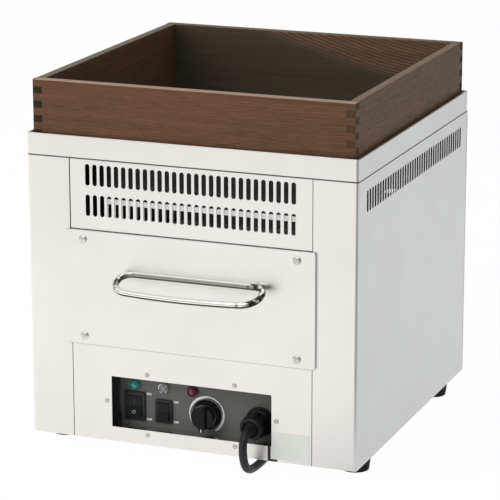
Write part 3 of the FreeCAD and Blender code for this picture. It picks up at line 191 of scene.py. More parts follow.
class Shading:
    """Nodes written into one tree."""

    def __init__(self, tree):
        self.tree = tree

    def node(self, kind, settings=None, inputs=None, output=0):
        """Any node: its type, its settings, and its sockets' values or links."""
        made = self.tree.nodes.new(kind)
        for key, value in (settings or {}).items():
            if key == "stops":
                self._fill(made.color_ramp, value)
            else:
                setattr(made, key, value)
        for key, value in (inputs or {}).items():
            if isinstance(value, Value):
                self.tree.links.new(value.socket, made.inputs[key])
            else:
                made.inputs[key].default_value = value
        return Value(self, made.outputs[output])

    def outputs(self, kind, *labels):
        """Several outputs of one node."""
        made = self.tree.nodes.new(kind)
        return [Value(self, made.outputs[label]) for label in labels]

    @staticmethod
    def _fill(ramp, stops):
        """Set a ramp's stops from (place, brightness) pairs."""
        while len(ramp.elements) < len(stops):
            ramp.elements.new(0.5)
        for element, (place, level) in zip(ramp.elements, stops):
            element.position = place
            element.color = (level, level, level, 1.0)

    def place(self, scale=(1.0, 1.0, 1.0)):
        """Object coordinates, scaled."""
        where = self.node("ShaderNodeTexCoord", output="Object")
        return self.node("ShaderNodeMapping", None, {"Vector": where, "Scale": scale})

    def axes(self, vector):
        """The three parts of a vector."""
        split = self.node("ShaderNodeSeparateXYZ", None, {0: vector})
        return [Value(self, socket) for socket in split.socket.node.outputs]

    def point(self):
        """The three object coordinates, in metres."""
        return self.axes(self.place())

    def bearing(self, x, y):
        """Direction seen from the middle: 0 to the left, 0.5 to the front, 1 to the right."""
        return x.math("ARCTAN2", x, -y) / math.pi + 0.5

    def noise(self, scale, detail=2.0, stretch=(1.0, 1.0, 1.0)):
        """Soft noise between 0 and 1."""
        return self.node("ShaderNodeTexNoise", None,
                         {"Vector": self.place(stretch), "Scale": scale, "Detail": detail})

    def grain(self, along, slow, fast, detail=3.0):
        """Noise drawn out along one axis: slow on it and fast across it."""
        stretch = [fast] * 3
        stretch["XYZ".index(along)] = slow
        return self.noise(1.0, detail, stretch)

    def ramp(self, value, *stops):
        """A value redrawn through stops of (place, level)."""
        return self.node("ShaderNodeValToRGB", {"stops": stops}, {0: value})

    def mix(self, factor, first, second):
        """A colour between two colours, or a level between two levels."""
        colours = [c if isinstance(c, Value) else (*c, 1.0) for c in (first, second)]
        return self.node("ShaderNodeMix", {"data_type": "RGBA"},
                         {0: factor, 6: colours[0], 7: colours[1]}, output=2)

    def bump(self, height, strength, distance):
        """A normal bent by a height."""
        return self.node("ShaderNodeBump", None,
                         {"Height": height, "Strength": strength, "Distance": distance})

    def past(self, value, edge, softness):
        """0 below an edge and 1 beyond it."""
        return ((value - edge) / softness).clipped()


class Finish(Shading):
    """A material in the making: one Principled shader and what feeds it."""

    def __init__(self, name, constants=None):
        self.material = bpy.data.materials.new(name)
        self.material.use_nodes = True
        super().__init__(self.material.node_tree)
        self.shader = self.tree.nodes["Principled BSDF"]
        for label, value in (constants or {}).items():
            self.shader.inputs[label].default_value = value

    def facing(self):
        """The three parts of the surface's direction."""
        return self.axes(self.node("ShaderNodeTexCoord", output="Normal"))

    def feed(self, label, value):
        """Link a value to the shader."""
        self.tree.links.new(value.socket, self.shader.inputs[label])

    def mottled(self, mask, tint, low, high):
        """A colour between a darker and a lighter shade of one tint."""
        return self.mix(mask, shade(tint, low), shade(tint, high))

    def done(self, colour, roughness, height=None, strength=0.0, distance=0.1 * MM):
        """The finished material, with its surface bent by a height if there is one."""
        self.feed("Base Color", colour)
        self.feed("Roughness", roughness)
        if height:
            self.feed("Normal", self.bump(height, strength, distance))
        return self.material


def shade(colour, factor):
    """A colour made darker or lighter."""
    return tuple(min(1.0, c * factor) for c in colour)


# ---------------- finishes
SKIN_DEPTH = 0.2 * MM        # behind a face, where its slot walls begin
FOLD_DEPTH = 4.5 * MM        # how far a face reaches in from the cabinet's corner
FOLD_BLUR = 1.0 * MM
EDGE_BLUR = 0.3 * MM
COVER_SHADE = 1.2 * MM       # height of the line of shade under the cover
JOINT_SHADE = 1.0 * MM       # half the line beside the vent panel, inwards
JOINT_SPILL = 0.7 * MM       # and its reach over the panel
JOINT_BLUR = 0.5 * MM
HAIR_LENGTH = 60             # of a hairline, in its widths
# Colour that painted shade goes towards.
UNLIT = (0.03, 0.03, 0.03)
WHITE = (1.0, 1.0, 1.0)


def cabinet_shade(finish):
    """Painted shade mask: 1 on the sheets' folds, slot walls and inner faces, and on the lines of
    shade at their joints.
    """
    x, y, z = finish.point()
    behind, within = y - FRONT_FACE, HALF_WIDTH - abs(x)
    front = finish.past(behind, SKIN_DEPTH, EDGE_BLUR) * finish.past(within, FOLD_DEPTH, FOLD_BLUR)
    side = finish.past(within, SKIN_DEPTH, EDGE_BLUR) * finish.past(behind, FOLD_DEPTH, FOLD_BLUR)
    below_cover = finish.past(z, COVER_LINE - COVER_SHADE, EDGE_BLUR)
    edge = VENT_LOW.x
    beside_vents = (finish.past(edge + JOINT_SPILL - x, 0.0, EDGE_BLUR)
                    * finish.past(z, VENT_LOW.z, EDGE_BLUR)
                    * finish.past(edge - x, -JOINT_SHADE, JOINT_BLUR)
                    * finish.past(x, edge - JOINT_SHADE, JOINT_BLUR))
    return (front + side + below_cover + beside_vents).clipped()


def shade_below(finish):
    """1 on faces that look down, which get painted shade."""
    return finish.past(-finish.facing()[2], 0.15, 0.25)


def satin_steel(name, along, settings, dark=None):
    """Satin stainless sheet with hairlines along one axis, and painted shade on its unlit places.
    """
    across = 1.0 / settings.hairline_width
    finish = Finish(name, {"Metallic": 1.0})
    hair = finish.grain(along, across / HAIR_LENGTH, across)
    cloud = finish.noise(7.0)
    handled = finish.ramp(finish.noise(16.0, 4.0), (0.45, 0.0), (0.75, 1.0))
    sheen = finish.mix(cloud * 0.7 + hair * 0.3, shade(settings.steel_tint, 0.95),
                       shade(settings.steel_tint, 1.04))
    # Painted shade: the places that dark marks are mixed towards UNLIT.
    if dark:
        sheen = finish.mix(dark(finish) * 0.85, sheen, UNLIT)
    roughness = settings.steel_roughness + (hair - 0.5) * 0.10 + handled * 0.05
    return finish.done(sheen, roughness, hair, 0.05)


def bright_steel(name, tint, roughness, waviness):
    """Sheet with its mill shine, slightly wavy where it was folded."""
    finish = Finish(name, {"Metallic": 1.0})
    wave = finish.noise(11.0)
    grain = finish.grain("X", 40.0, 900.0, 2.0)
    return finish.done(finish.mottled(wave, tint, 0.90, 1.05),
                       roughness + wave * roughness * 0.6 + grain * 0.05, wave, waviness, 1.5 * MM)


def zinc_sheet(name):
    """Zinc-coated sheet with its faint spangle."""
    finish = Finish(name, {"Metallic": 1.0})
    spangle = finish.node("ShaderNodeTexVoronoi", {"feature": "F1"},
                          {"Vector": finish.place(), "Scale": 130.0}, output="Color")
    flake = finish.node("ShaderNodeRGBToBW", None, {0: spangle})
    return finish.done(finish.mix(flake, (0.50, 0.52, 0.53), (0.66, 0.68, 0.69)),
                       0.34 + flake * 0.18)


def polished_chrome(name):
    """Chrome plate with a trace of handling."""
    finish = Finish(name, {"Metallic": 1.0})
    smear = finish.noise(60.0, 3.0)
    return finish.done(finish.mix(smear, (0.80, 0.81, 0.82), (0.88, 0.88, 0.89)),
                       0.05 + smear * 0.06)


def handle_chrome(name):
    """Bent chrome bar with a painted reflection: its crown is coloured light as if mirroring the
    light, its flank and underside dark as if mirroring the shade below.
    """
    bow_start, bend_start = 26.0 * MM, 70.0 * MM
    finish = Finish(name, {"Metallic": 1.0})
    # Painted reflection: levels by the surface's tilt, one ramp for the back bar and one for the
    # bow.
    tilt = finish.facing()[2] * 0.5 + 0.5
    back = finish.ramp(tilt, (0.0, 0.03), (0.36, 0.04), (0.42, 0.34), (0.84, 0.46), (0.90, 1.0),
                       (1.0, 1.0))
    bow = finish.ramp(tilt, (0.0, 0.30), (0.16, 0.26), (0.22, 0.02), (0.40, 0.03), (0.47, 0.95),
                      (1.0, 1.0))
    x, y, _ = finish.point()
    near = finish.past(-y, bow_start - FRONT_FACE, 6.0 * MM)
    # Painted glint patches: dark and light patches that break the painted reflection at the bends.
    painted_glints = finish.ramp(finish.noise(150.0, 1.0), (0.46, 0.05), (0.52, 1.0))
    bends = finish.past(abs(x), bend_start, 8.0 * MM)
    painted_reflection = finish.mix(near, back, bow) * finish.mix(bends, WHITE, painted_glints)
    return finish.done(finish.mix(painted_reflection, (0.025, 0.025, 0.016), (0.98, 0.97, 0.93)),
                       0.05 + finish.noise(60.0, 3.0) * 0.05)


def lamp_rings(name, settings):
    """Rings of the three lamps: the outer two of tinted plastic, the middle one chromed."""
    finish = Finish(name, {"Coat Weight": 0.5, "Coat Roughness": 0.05})
    x = finish.point()[0]
    places = [middle(lamp).x for lamp in ("power_lamp", "supply_lamp", "heat_lamp")]
    beyond_first, beyond_second = [finish.past(x, (a + b) / 2, 1.0 * MM)
                                   for a, b in zip(places, places[1:])]
    swirl = finish.noise(420.0)
    green = finish.mix(swirl, shade(settings.green_tint, 0.5), shade(settings.green_tint, 1.1))
    red = finish.mix(swirl, shade(settings.red_tint, 0.5), shade(settings.red_tint, 1.0))
    left = finish.mix(beyond_first, green, (0.82, 0.83, 0.83))
    finish.feed("Metallic", beyond_first - beyond_second)
    return finish.done(finish.mix(beyond_second, left, red), 0.10 + swirl * 0.10)


def turned_steel(name, tint=(0.60, 0.60, 0.59), roughness=0.30):
    """Small fasteners: steel with turning marks."""
    finish = Finish(name, {"Metallic": 1.0})
    mark = finish.noise(900.0)
    return finish.done(finish.mottled(mark, tint, 0.85, 1.15), roughness + mark * 0.14)


def heater_sheath(name):
    """Sheathed element: steel browned by heat, with pale scale in places."""
    finish = Finish(name, {"Metallic": 0.75})
    stain = finish.grain("X", 14.0, 60.0, 4.0)
    scale = finish.noise(420.0, 3.0)
    return finish.done(finish.mix(stain, (0.09, 0.075, 0.065), (0.24, 0.20, 0.17)),
                       0.42 + scale * 0.25, scale, 0.25)


INNER_FACE = 0.19            # from the object's middle to a board's inner face
# Tints of the painted cast shadow on the back board's inner face.
SHADOW_TINTS = ((0.070, 0.057, 0.038), (0.026, 0.022, 0.013))


def guard_wood(name, along, settings, crown_highlight, tone_and_light, heart=(0.16, -0.11), slope=0.02,
               contrast=0.3, spread=1.0, end_tint=(0.015, 0.007, 0.003), shadow_line=None):
    """Open-grained timber: growth rings about a wandering heart, pores and darker end grain.

    heart is the tree's middle: its height, and its depth behind the board's inner face.
    spread widens the rings. tone_and_light tints the board, and also paints how lit its faces are.
    crown_highlight is the painted highlight on its top edge, and end_tint colours its end grain.
    shadow_line is a line, as a height at the board's middle and its fall, under which a cast
    shadow is painted on the inner face.
    """
    finish = Finish(name, {"Specular IOR Level": 0.35})
    x, y, z = finish.point()
    run, across = (x, y) if along == "X" else (y, x)
    # tone_and_light tints the board and also paints how lit its faces are.
    light, dark = [tuple(a * b for a, b in zip(tint, tone_and_light))
                   for tint in (settings.wood_light, settings.wood_dark)]
    drift = finish.grain(along, 2.6, 6.0, 2.0)
    ripple = finish.grain(along, 12.0, 60.0)
    streak = finish.grain(along, 4.0, 260.0)
    cloud = finish.grain(along, 5.0, 22.0)
    pores = finish.ramp(finish.grain(along, 60.0, 1900.0), (0.52, 0.0), (0.68, 1.0))
    rise = z - heart[0] - (drift - 0.5) * 0.05 + run * slope
    depth = abs(across) - INNER_FACE - heart[1]
    radius = (rise * rise + depth * depth) ** 0.5 + (ripple - 0.5) * 0.004
    rings = radius / (settings.ring_spacing * spread)
    summer = finish.ramp(rings.math("FRACT", rings), (0.0, 0.50), (0.14, 0.05), (0.60, 0.25),
                         (0.92, 1.0), (1.0, 0.55))
    darkness = summer * contrast + (streak - 0.5) * 0.65 + (cloud - 0.5) * 0.45 + 0.30
    sound = finish.mix(darkness.clipped(), light, dark)
    pitted = finish.mix(pores * 0.45, sound, shade(dark, 0.6))
    facing = finish.facing()
    # Painted cast shadow: below shadow_line the inner face is darkened towards SHADOW_TINTS.
    if shadow_line:
        height, fall = shadow_line
        below = finish.past(run * -fall + height - z + (drift - 0.5) * 0.02, 0.0, 0.016)
        inner = finish.past(-facing[1], 0.5, 0.2)
        shadowed = finish.mix(streak * 0.5 + cloud * 0.5, *SHADOW_TINTS)
        pitted = finish.mix(below * inner * 0.92, pitted, shadowed)
    end = finish.ramp(abs(facing["XY".index(along)]), (0.80, 0.0), (0.95, 1.0))
    # Painted highlight: faces that look up are lightened towards crown_highlight.
    crown = finish.past(facing[2], 0.25, 0.4)
    crown_lit = finish.mix(crown * 0.85, pitted, crown_highlight)
    return finish.done(finish.mix(end * 0.90, crown_lit, end_tint),
                       0.56 + pores * 0.22 - summer * 0.08 + end * 0.2,
                       summer * 0.3 + streak * 0.5 - pores * 0.8, 0.40, 0.4 * MM)


def moulded(name, tint, roughness, grain=0.2, gloss=0.5):
    """Moulded plastic or rubber with a fine surface texture."""
    finish = Finish(name, {"Specular IOR Level": gloss})
    cloud = finish.noise(45.0, 3.0)
    return finish.done(finish.mottled(cloud, tint, 0.85, 1.2), roughness + (cloud - 0.5) * 0.12,
                       finish.noise(1400.0), grain, 0.08 * MM)


def painted_plate(name, tint, glow=0.0):
    """Satin paint with a slight orange peel; glow stands for light thrown between close sheets."""
    finish = Finish(name, {"Coat Weight": 0.15, "Coat Roughness": 0.3, "Emission Strength": glow,
                           "Emission Color": (*tint, 1.0)})
    peel = finish.noise(650.0)
    return finish.done(finish.mottled(finish.noise(20.0, 3.0), tint, 0.88, 1.12),
                       0.42 + peel * 0.14, peel, 0.15)


def lens(name, tint, clear):
    """Tinted pilot lens."""
    finish = Finish(name, {"Transmission Weight": clear, "IOR": 1.49, "Coat Weight": 0.6,
                           "Coat Roughness": 0.03})
    swirl = finish.noise(320.0)
    return finish.done(finish.mottled(swirl, tint, 0.8, 1.35), 0.06 + swirl * 0.10)


def ceramic(name):
    """Unglazed bush."""
    finish = Finish(name)
    grit = finish.noise(700.0, 3.0)
    return finish.done(finish.mix(grit, (0.34, 0.30, 0.25), (0.50, 0.46, 0.40)),
                       0.6 + grit * 0.2)


def printing_ink(name, tint):
    """Screen-printed ink, a little uneven."""
    finish = Finish(name)
    wear = finish.noise(500.0, 3.0)
    return finish.done(finish.mottled(wear, tint, 0.80, 1.05), 0.45 + wear * 0.15)


def dress(material, *nodes):
    """Give nodes of the frame a material."""
    for node in nodes:
        NODES[node].material_slots[0].material = material


# ---------------- piece making
def linked(name, data):
    """A new object in the scene."""
    made = bpy.data.objects.new(name, data)
    bpy.context.scene.collection.objects.link(made)
    return made


def made_from(name, mesh, material):
    """A flat-shaded object at the origin from a bmesh, with its finish."""
    data = bpy.data.meshes.new(name)
    mesh.to_mesh(data)
    mesh.free()
    data.shade_flat()
    data.materials.append(material)
    return linked(name, data)


def piece(name, mesh, material, body):
    """An object from a bmesh that rides on a body."""
    made = made_from(name, mesh, material)
    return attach(made, body)


def standing(x, y, z):
    """Turns a shape drawn in XY, facing +Z, to face -Y at a point."""
    return Matrix.Translation((x, y, z)) @ Matrix.Rotation(math.radians(90), 4, "X")


def turned(profile, steps):
    """A mesh in XY facing +Z: an outline of (radius, height) spun about Z."""
    mesh = bmesh.new()
    line = [mesh.verts.new((radius, 0.0, height)) for radius, height in profile]
    edges = [mesh.edges.new(pair) for pair in zip(line, line[1:])]
    bmesh.ops.spin(mesh, geom=line + edges, cent=(0, 0, 0), axis=(0, 0, 1), angle=math.tau,
                   steps=steps, use_merge=True, use_duplicate=False)
    bmesh.ops.remove_doubles(mesh, verts=mesh.verts, dist=0.001 * MM)
    bmesh.ops.recalc_face_normals(mesh, faces=mesh.faces[:])
    return mesh


def rectangle(width, height):
    """A flat mesh in XY about the origin."""
    mesh = bmesh.new()
    bmesh.ops.create_grid(mesh, x_segments=1, y_segments=1, size=0.5)
    bmesh.ops.scale(mesh, vec=(width, height, 1.0), verts=mesh.verts)
    return mesh


def inlay(width, height, thickness):
    """A thin closed slab in XY, standing on the origin's plane and facing +Z."""
    return raised(rectangle(width, height), thickness)


def raised(mesh, thickness):
    """A flat mesh in XY given a thickness towards +Z."""
    grown = bmesh.ops.extrude_face_region(mesh, geom=mesh.faces[:], use_keep_orig=True)
    lifted = [v for v in grown["geom"] if isinstance(v, bmesh.types.BMVert)]
    bmesh.ops.translate(mesh, vec=(0, 0, thickness), verts=lifted)
    bmesh.ops.recalc_face_normals(mesh, faces=mesh.faces[:])
    return mesh


def on_surface(node, x, z):
    """Where a line along +Y meets a node's front, as a place whose +Z stands on the surface."""
    hit, point, normal, _ = NODES[node].ray_cast((x, AHEAD, z), (0, 1, 0))
    if not hit:
        raise RuntimeError("nothing of " + node + " at this place")
    across = Vector((1, 0, 0))
    up = normal.cross(across).normalized()
    turn = Matrix((across, up, normal)).transposed().to_4x4()
    return Matrix.Translation(point) @ turn


FONT_SIZE = 1.35             # of a capital's height
FONT_WEIGHT = 0.05


def lettering(text, height, thickness):
    """A word as a mesh in XY, centred on the origin, its face towards +Z."""
    curve = bpy.data.curves.new("lettering", "FONT")
    curve.body = text
    curve.align_x, curve.align_y = "CENTER", "CENTER"
    curve.size = height * FONT_SIZE
    curve.extrude = thickness / 2
    curve.offset = height * FONT_WEIGHT
    holder = linked("lettering", curve)
    graph = bpy.context.evaluated_depsgraph_get()
    data = bpy.data.meshes.new_from_object(holder.evaluated_get(graph))
    mesh = bmesh.new()
    mesh.from_mesh(data)
    bpy.data.objects.remove(holder)
    bpy.data.curves.remove(curve)
    bpy.data.meshes.remove(data)
    return mesh


# ---------------- operators
class ROASTER_OT_stage(bpy.types.Operator):
    """Camera, floor, lamps and surroundings"""

    bl_idname = "roaster.stage"
    bl_label = "Stage"

    EYE = Vector((1.0860, -2.7848, 1.0010))
    AZIMUTH = math.radians(21.435)
    ELEVATION = math.radians(14.966)
    ROLL = math.radians(-0.098)
    FOCAL_PIXELS = 2581.3
    IMAGE_PIXELS = 500.0
    SENSOR_WIDTH = 36.0
    CLIP = (0.05, 60.0)
    # Levels by bearing: 0 to the left, 0.5 to the front, 1 to the right.
    MIRRORED_FAR = ((0.0, 1.18), (0.40, 1.22), (0.56, 1.24), (0.68, 0.30), (0.86, 0.34),
                    (0.97, 0.86))
    MIRRORED_NEAR = ((0.0, 1.18), (0.56, 1.20), (0.74, 0.86))
    SURROUNDINGS = ((0.0, 1.0), (0.56, 1.0), (0.66, 0.25), (1.0, 0.35))
    BLUISH = ((0.50, 0.0), (0.90, 1.0))
    # Levels by distance, 1 being REACH metres from the middle.
    REACH = 3.0
    NEARNESS = ((0.125, 1.0), (0.20, 0.0))
    FALL = ((0.08, 0.88), (0.18, 0.95), (0.33, 1.0), (0.50, 0.97), (0.75, 0.86))
    # Levels by height, from the horizon up.
    SKY = ((0.0, 0.62), (0.10, 0.50), (0.30, 0.50), (0.6, 0.95), (1.0, 1.0))
    PAPER_WHITE = 1.02
    HIDDEN_HALF_SIDES = (0.15, 0.12)    # of the floor kept dark under the cabinet
    HIDDEN_BLUR = 0.02
    LAMP_TARGET = Vector((0.0, 0.0, 0.22))
    LAMPS = (("key_lamp", Vector((-2.3, -2.4, 1.7)), (3.0, 3.0)),
             ("top_lamp", Vector((0.3, -1.6, 2.6)), (2.4, 0.5)))

    def execute(self, context):
        stage = context.scene.roaster_stage
        self.camera(context)
        self.floor(stage)
        self.lamps(stage)
        self.world(context, stage)
        context.scene.view_settings.view_transform = "Standard"
        return {"FINISHED"}

    def camera(self, context):
        """The viewing angle, through a long lens aimed at the roaster."""
        data = bpy.data.cameras.new("camera")
        data.sensor_fit = "HORIZONTAL"
        data.sensor_width = self.SENSOR_WIDTH
        data.lens = data.sensor_width * self.FOCAL_PIXELS / self.IMAGE_PIXELS
        data.clip_start, data.clip_end = self.CLIP
        made = linked("camera", data)
        turn = (Matrix.Rotation(self.AZIMUTH, 4, "Z")
                @ Matrix.Rotation(math.radians(90) - self.ELEVATION, 4, "X")
                @ Matrix.Rotation(self.ROLL, 4, "Z"))
        made.matrix_world = Matrix.Translation(self.EYE) @ turn
        context.scene.camera = made

    def floor(self, stage):
        """A large pale floor that keeps the shadow."""
        mesh = bmesh.new()
        bmesh.ops.create_grid(mesh, x_segments=2, y_segments=2, size=stage.floor_size / 2)
        made_from("floor", mesh, self.floor_material(stage))

    def floor_material(self, stage):
        """Pale floor: as bright as paper to the eye, matte to the light, uneven in reflections."""
        finish = Finish("pale_floor", {"Base Color": (0.80, 0.80, 0.80, 1.0), "Roughness": 0.9,
                                       "Specular IOR Level": 0.0})
        camera, glossy, through = finish.outputs("ShaderNodeLightPath", "Is Camera Ray",
                                                 "Is Glossy Ray", "Is Transmission Ray")
        x, y, _ = finish.point()
        way = finish.bearing(x, y)
        reach = (x * x + y * y) ** 0.5 / self.REACH
        far = finish.ramp(way, *self.MIRRORED_FAR)
        near = finish.ramp(way, *self.MIRRORED_NEAR)
        mirrored = far + (near - far) * finish.ramp(reach, *self.NEARNESS)
        mirrored = mirrored * finish.ramp(reach, *self.FALL)
        light = camera * self.PAPER_WHITE + through + glossy * mirrored
        tint = finish.mix(finish.ramp(way, *self.BLUISH), (1.0, 0.965, 0.94), (0.955, 0.985, 1.0))
        white = finish.mix(glossy, WHITE, tint)
        paper = finish.node("ShaderNodeEmission", None, {"Color": white, "Strength": light})
        seen = (camera + glossy + through).clipped()
        beside, beyond = self.HIDDEN_HALF_SIDES
        hidden = (finish.past(-abs(x), -beside, self.HIDDEN_BLUR)
                  * finish.past(-abs(y), -beyond, self.HIDDEN_BLUR))
        lit = Value(finish, finish.shader.outputs[0])
        blend = finish.node("ShaderNodeMixShader", None,
                            {0: seen * (1.0 - hidden) * stage.paper, 1: lit, 2: paper})
        output = finish.tree.nodes["Material Output"]
        finish.tree.links.new(blend.socket, output.inputs["Surface"])
        return finish.material

    def lamps(self, stage):
        """A large soft key at the front left and a narrow lamp overhead."""
        for (name, spot, size), power in zip(self.LAMPS, (stage.key_power, stage.top_power)):
            data = bpy.data.lights.new(name, "AREA")
            data.shape = "RECTANGLE"
            data.size, data.size_y = size
            data.energy = power
            lamp = linked(name, data)
            lamp.location = spot
            lamp.rotation_euler = (self.LAMP_TARGET - spot).to_track_quat("-Z", "Y").to_euler()
            lamp.visible_glossy = name == "top_lamp"

    def world(self, context, stage):
        """Surroundings: white to the eye, even to matte surfaces, dim above in reflections."""
        world = bpy.data.worlds.new("surroundings")
        world.use_nodes = True
        shading = Shading(world.node_tree)
        camera, glossy = shading.outputs("ShaderNodeLightPath", "Is Camera Ray", "Is Glossy Ray")
        x, y, height = shading.axes(shading.node("ShaderNodeTexCoord", output="Generated"))
        lit = shading.ramp(shading.bearing(x, y), *self.SURROUNDINGS)
        dim = shading.ramp(height, *self.SKY) * lit
        rest = 1.0 - camera - glossy
        strength = camera + glossy * dim + rest * stage.ambient
        background = world.node_tree.nodes["Background"]
        background.inputs["Color"].default_value = (1.0, 1.0, 1.0, 1.0)
        world.node_tree.links.new(strength.socket, background.inputs["Strength"])
        context.scene.world = world


class ROASTER_OT_mains_lead(bpy.types.Operator):
    """The mains lead, from the connector under the cabinet to its coil and plug"""

    bl_idname = "roaster.mains_lead"
    bl_label = "Mains lead"

    ROUTE = (
        (0.0754, -0.2130, 0.0518),
        (0.0754, -0.2340, 0.0518),
        (0.0764, -0.2365, 0.0230),
        (0.0774, -0.2220, 0.0048),
        (0.0790, -0.1780, 0.0048),
        (0.0730, -0.0950, 0.0048),
        (0.0860, 0.0250, 0.0048),
        (0.0710, 0.1250, 0.0048),
        (0.0620, 0.2050, 0.0048),
        (0.0600, 0.2680, 0.0048),
    )
    TURN_RADII = (0.0656, 0.0560, 0.0464, 0.0464, 0.0560)
    BASE_TURNS = 3
    STEPS = 16
    TAIL_ANGLE = math.radians(120)
    TAIL_LENGTH = 0.056
    TAIL_SHARES = (0.35, 1.0)
    STEP_SHARE = 0.25            # of a turn, in which the lead moves to the next one

    def execute(self, context):
        details = context.scene.roaster_details
        radius = details.lead_diameter / 2
        points = [Vector(point) for point in self.ROUTE] + self.coil_points(radius)
        curve = bpy.data.curves.new("mains_lead_sheath", "CURVE")
        curve.dimensions = "3D"
        curve.bevel_depth = radius
        curve.bevel_resolution = 5
        curve.resolution_u = 8
        curve.use_fill_caps = True
        spline = curve.splines.new("NURBS")
        spline.points.add(len(points) - 1)
        for spot, point in zip(spline.points, points):
            spot.co = (*point, 1.0)
        spline.order_u = 3
        spline.use_endpoint_u = True
        curve.materials.append(moulded("lead_rubber", (0.014, 0.015, 0.015), 0.45, grain=0.3,
                                       gloss=0.35))
        lead = linked("mains_lead_sheath", curve)
        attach(lead, "cabinet")
        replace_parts(lead, "mains_lead", "lead_coil")
        return {"FINISHED"}

    def coil_points(self, radius):
        """The turns, bottom layer inwards and top layer outwards, and the tail to the plug."""
        centre = Vector((self.ROUTE[-1][0] - self.TURN_RADII[0], middle("lead_coil").y, 0.0))
        outwards = 1 / math.cos(math.pi / self.STEPS)
        whole = len(self.TURN_RADII) - 1
        steps = whole * self.STEPS + round(self.STEPS * self.TAIL_ANGLE / math.tau)
        levels = [radius if i < self.BASE_TURNS else 3 * radius for i in range(whole + 1)]
        points = []
        for step in range(1, steps + 1):
            angle = math.tau * step / self.STEPS
            turn = min(step / self.STEPS, whole + 0.999)
            reach = self.along_turns(turn, self.TURN_RADII) * outwards
            height = self.along_turns(turn, levels)
            points.append(centre + Vector((math.cos(angle) * reach, math.sin(angle) * reach,
                                           height)))
        out = Vector((math.cos(self.TAIL_ANGLE), math.sin(self.TAIL_ANGLE), 0.0))
        way = Vector((-out.y, out.x, 0.0))
        leaving = centre + out * self.TURN_RADII[-1] + Vector((0.0, 0.0, 3 * radius))
        return points + [leaving + way * self.TAIL_LENGTH * share for share in self.TAIL_SHARES]

    def along_turns(self, turn, levels):
        """A level that moves to the next one at the start of each turn."""
        index = min(int(turn), len(levels) - 1)
        before = levels[max(index - 1, 0)]
        share = min((turn - index) / self.STEP_SHARE, 1.0)
        return before + (levels[index] - before) * share


class ROASTER_OT_cabinet(bpy.types.Operator):
    """Satin sheet of the cabinet, its cover, feet and fasteners"""

    bl_idname = "roaster.cabinet"
    bl_label = "Cabinet"

    def execute(self, context):
        settings = context.scene.roaster_finishes
        dress(satin_steel("front_satin_steel", "X", settings, cabinet_shade),
              "lower_panel", "vent_panel")
        dress(satin_steel("side_satin_steel", "Z", settings, cabinet_shade),
              "left_side_panel", "right_side_panel")
        dress(satin_steel("back_satin_steel", "Z", settings), "back_panel")
        dress(satin_steel("cover_satin_steel", "X", settings, shade_below), "top_cover")
        dress(bright_steel("hidden_sheet", (0.30, 0.29, 0.28), 0.34, 0.1), "drawer_head_rail")
        dress(zinc_sheet("zinc_coated_sheet"), "base_pan", "drawer_deck",
              "left_runner", "right_runner")
        dress(moulded("black_rubber", (0.008, 0.008, 0.008), 0.62, grain=0.35, gloss=0.25),
              "feet", "guard_gasket", "connector_collar")
        dress(turned_steel("fastener_steel"), "back_screws", "foot_screws")
        dress(turned_steel("rivet_steel", (0.62, 0.60, 0.57), 0.46), "tray_rivets")
        return {"FINISHED"}


class ROASTER_OT_vent_strip(bpy.types.Operator):
    """Slotted strip behind the lower row of front slots"""

    bl_idname = "roaster.vent_strip"
    bl_label = "Vent strip"

    SHEET = 1.2 * MM
    EXTRA_HEIGHT = 5.0 * MM
    TOP_BAND = 5.8 * MM
    SLOT_LENGTH = 15.6 * MM
    SLOT_WIDTH = 5.5 * MM
    SLOT_PITCH = 8.906 * MM
    LAST_SLOT = 14
    MARGIN = 1.0 * MM

    def execute(self, context):
        low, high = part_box("vent_baffle")
        width, height = high.x - low.x, high.z - low.z + self.EXTRA_HEIGHT
        centre = (low.x + high.x) / 2
        strip = rectangle(width, height)
        bmesh.ops.translate(strip, vec=(centre, low.z + height / 2, 0.0), verts=strip.verts)
        head = low.z + height - self.TOP_BAND
        foot = head - self.SLOT_LENGTH
        middles = [i * self.SLOT_PITCH for i in range(-self.LAST_SLOT, self.LAST_SLOT + 1)]
        reach = self.SLOT_WIDTH / 2
        middles = [x for x in middles
                   if low.x + self.MARGIN < x - reach and x + reach < high.x - self.MARGIN]
        cuts = [((0, z, 0), (0, 1, 0)) for z in (foot, head)]
        cuts += [((x + side * reach, 0, 0), (1, 0, 0)) for x in middles for side in (-1, 1)]
        for place, across in cuts:
            bmesh.ops.bisect_plane(strip, geom=strip.verts[:] + strip.edges[:] + strip.faces[:],
                                   plane_co=place, plane_no=across)
        open_faces = []
        for face in strip.faces:
            spot = face.calc_center_median()
            if foot < spot.y < head and min(abs(spot.x - x) for x in middles) < reach:
                open_faces.append(face)
        bmesh.ops.delete(strip, geom=open_faces, context="FACES")
        raised(strip, self.SHEET)
        strip.transform(standing(0.0, low.y + self.SHEET, 0.0))
        flange = inlay(width, high.y - low.y, self.SHEET)
        flange.transform(Matrix.Translation((centre, (low.y + high.y) / 2, low.z)))
        paint = painted_plate("vent_strip_paint", (0.90, 0.89, 0.87), glow=0.35)
        for name, mesh in (("vent_strip_face", strip), ("vent_strip_flange", flange)):
            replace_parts(piece(name, mesh, paint, "cabinet"), "vent_baffle")
        return {"FINISHED"}


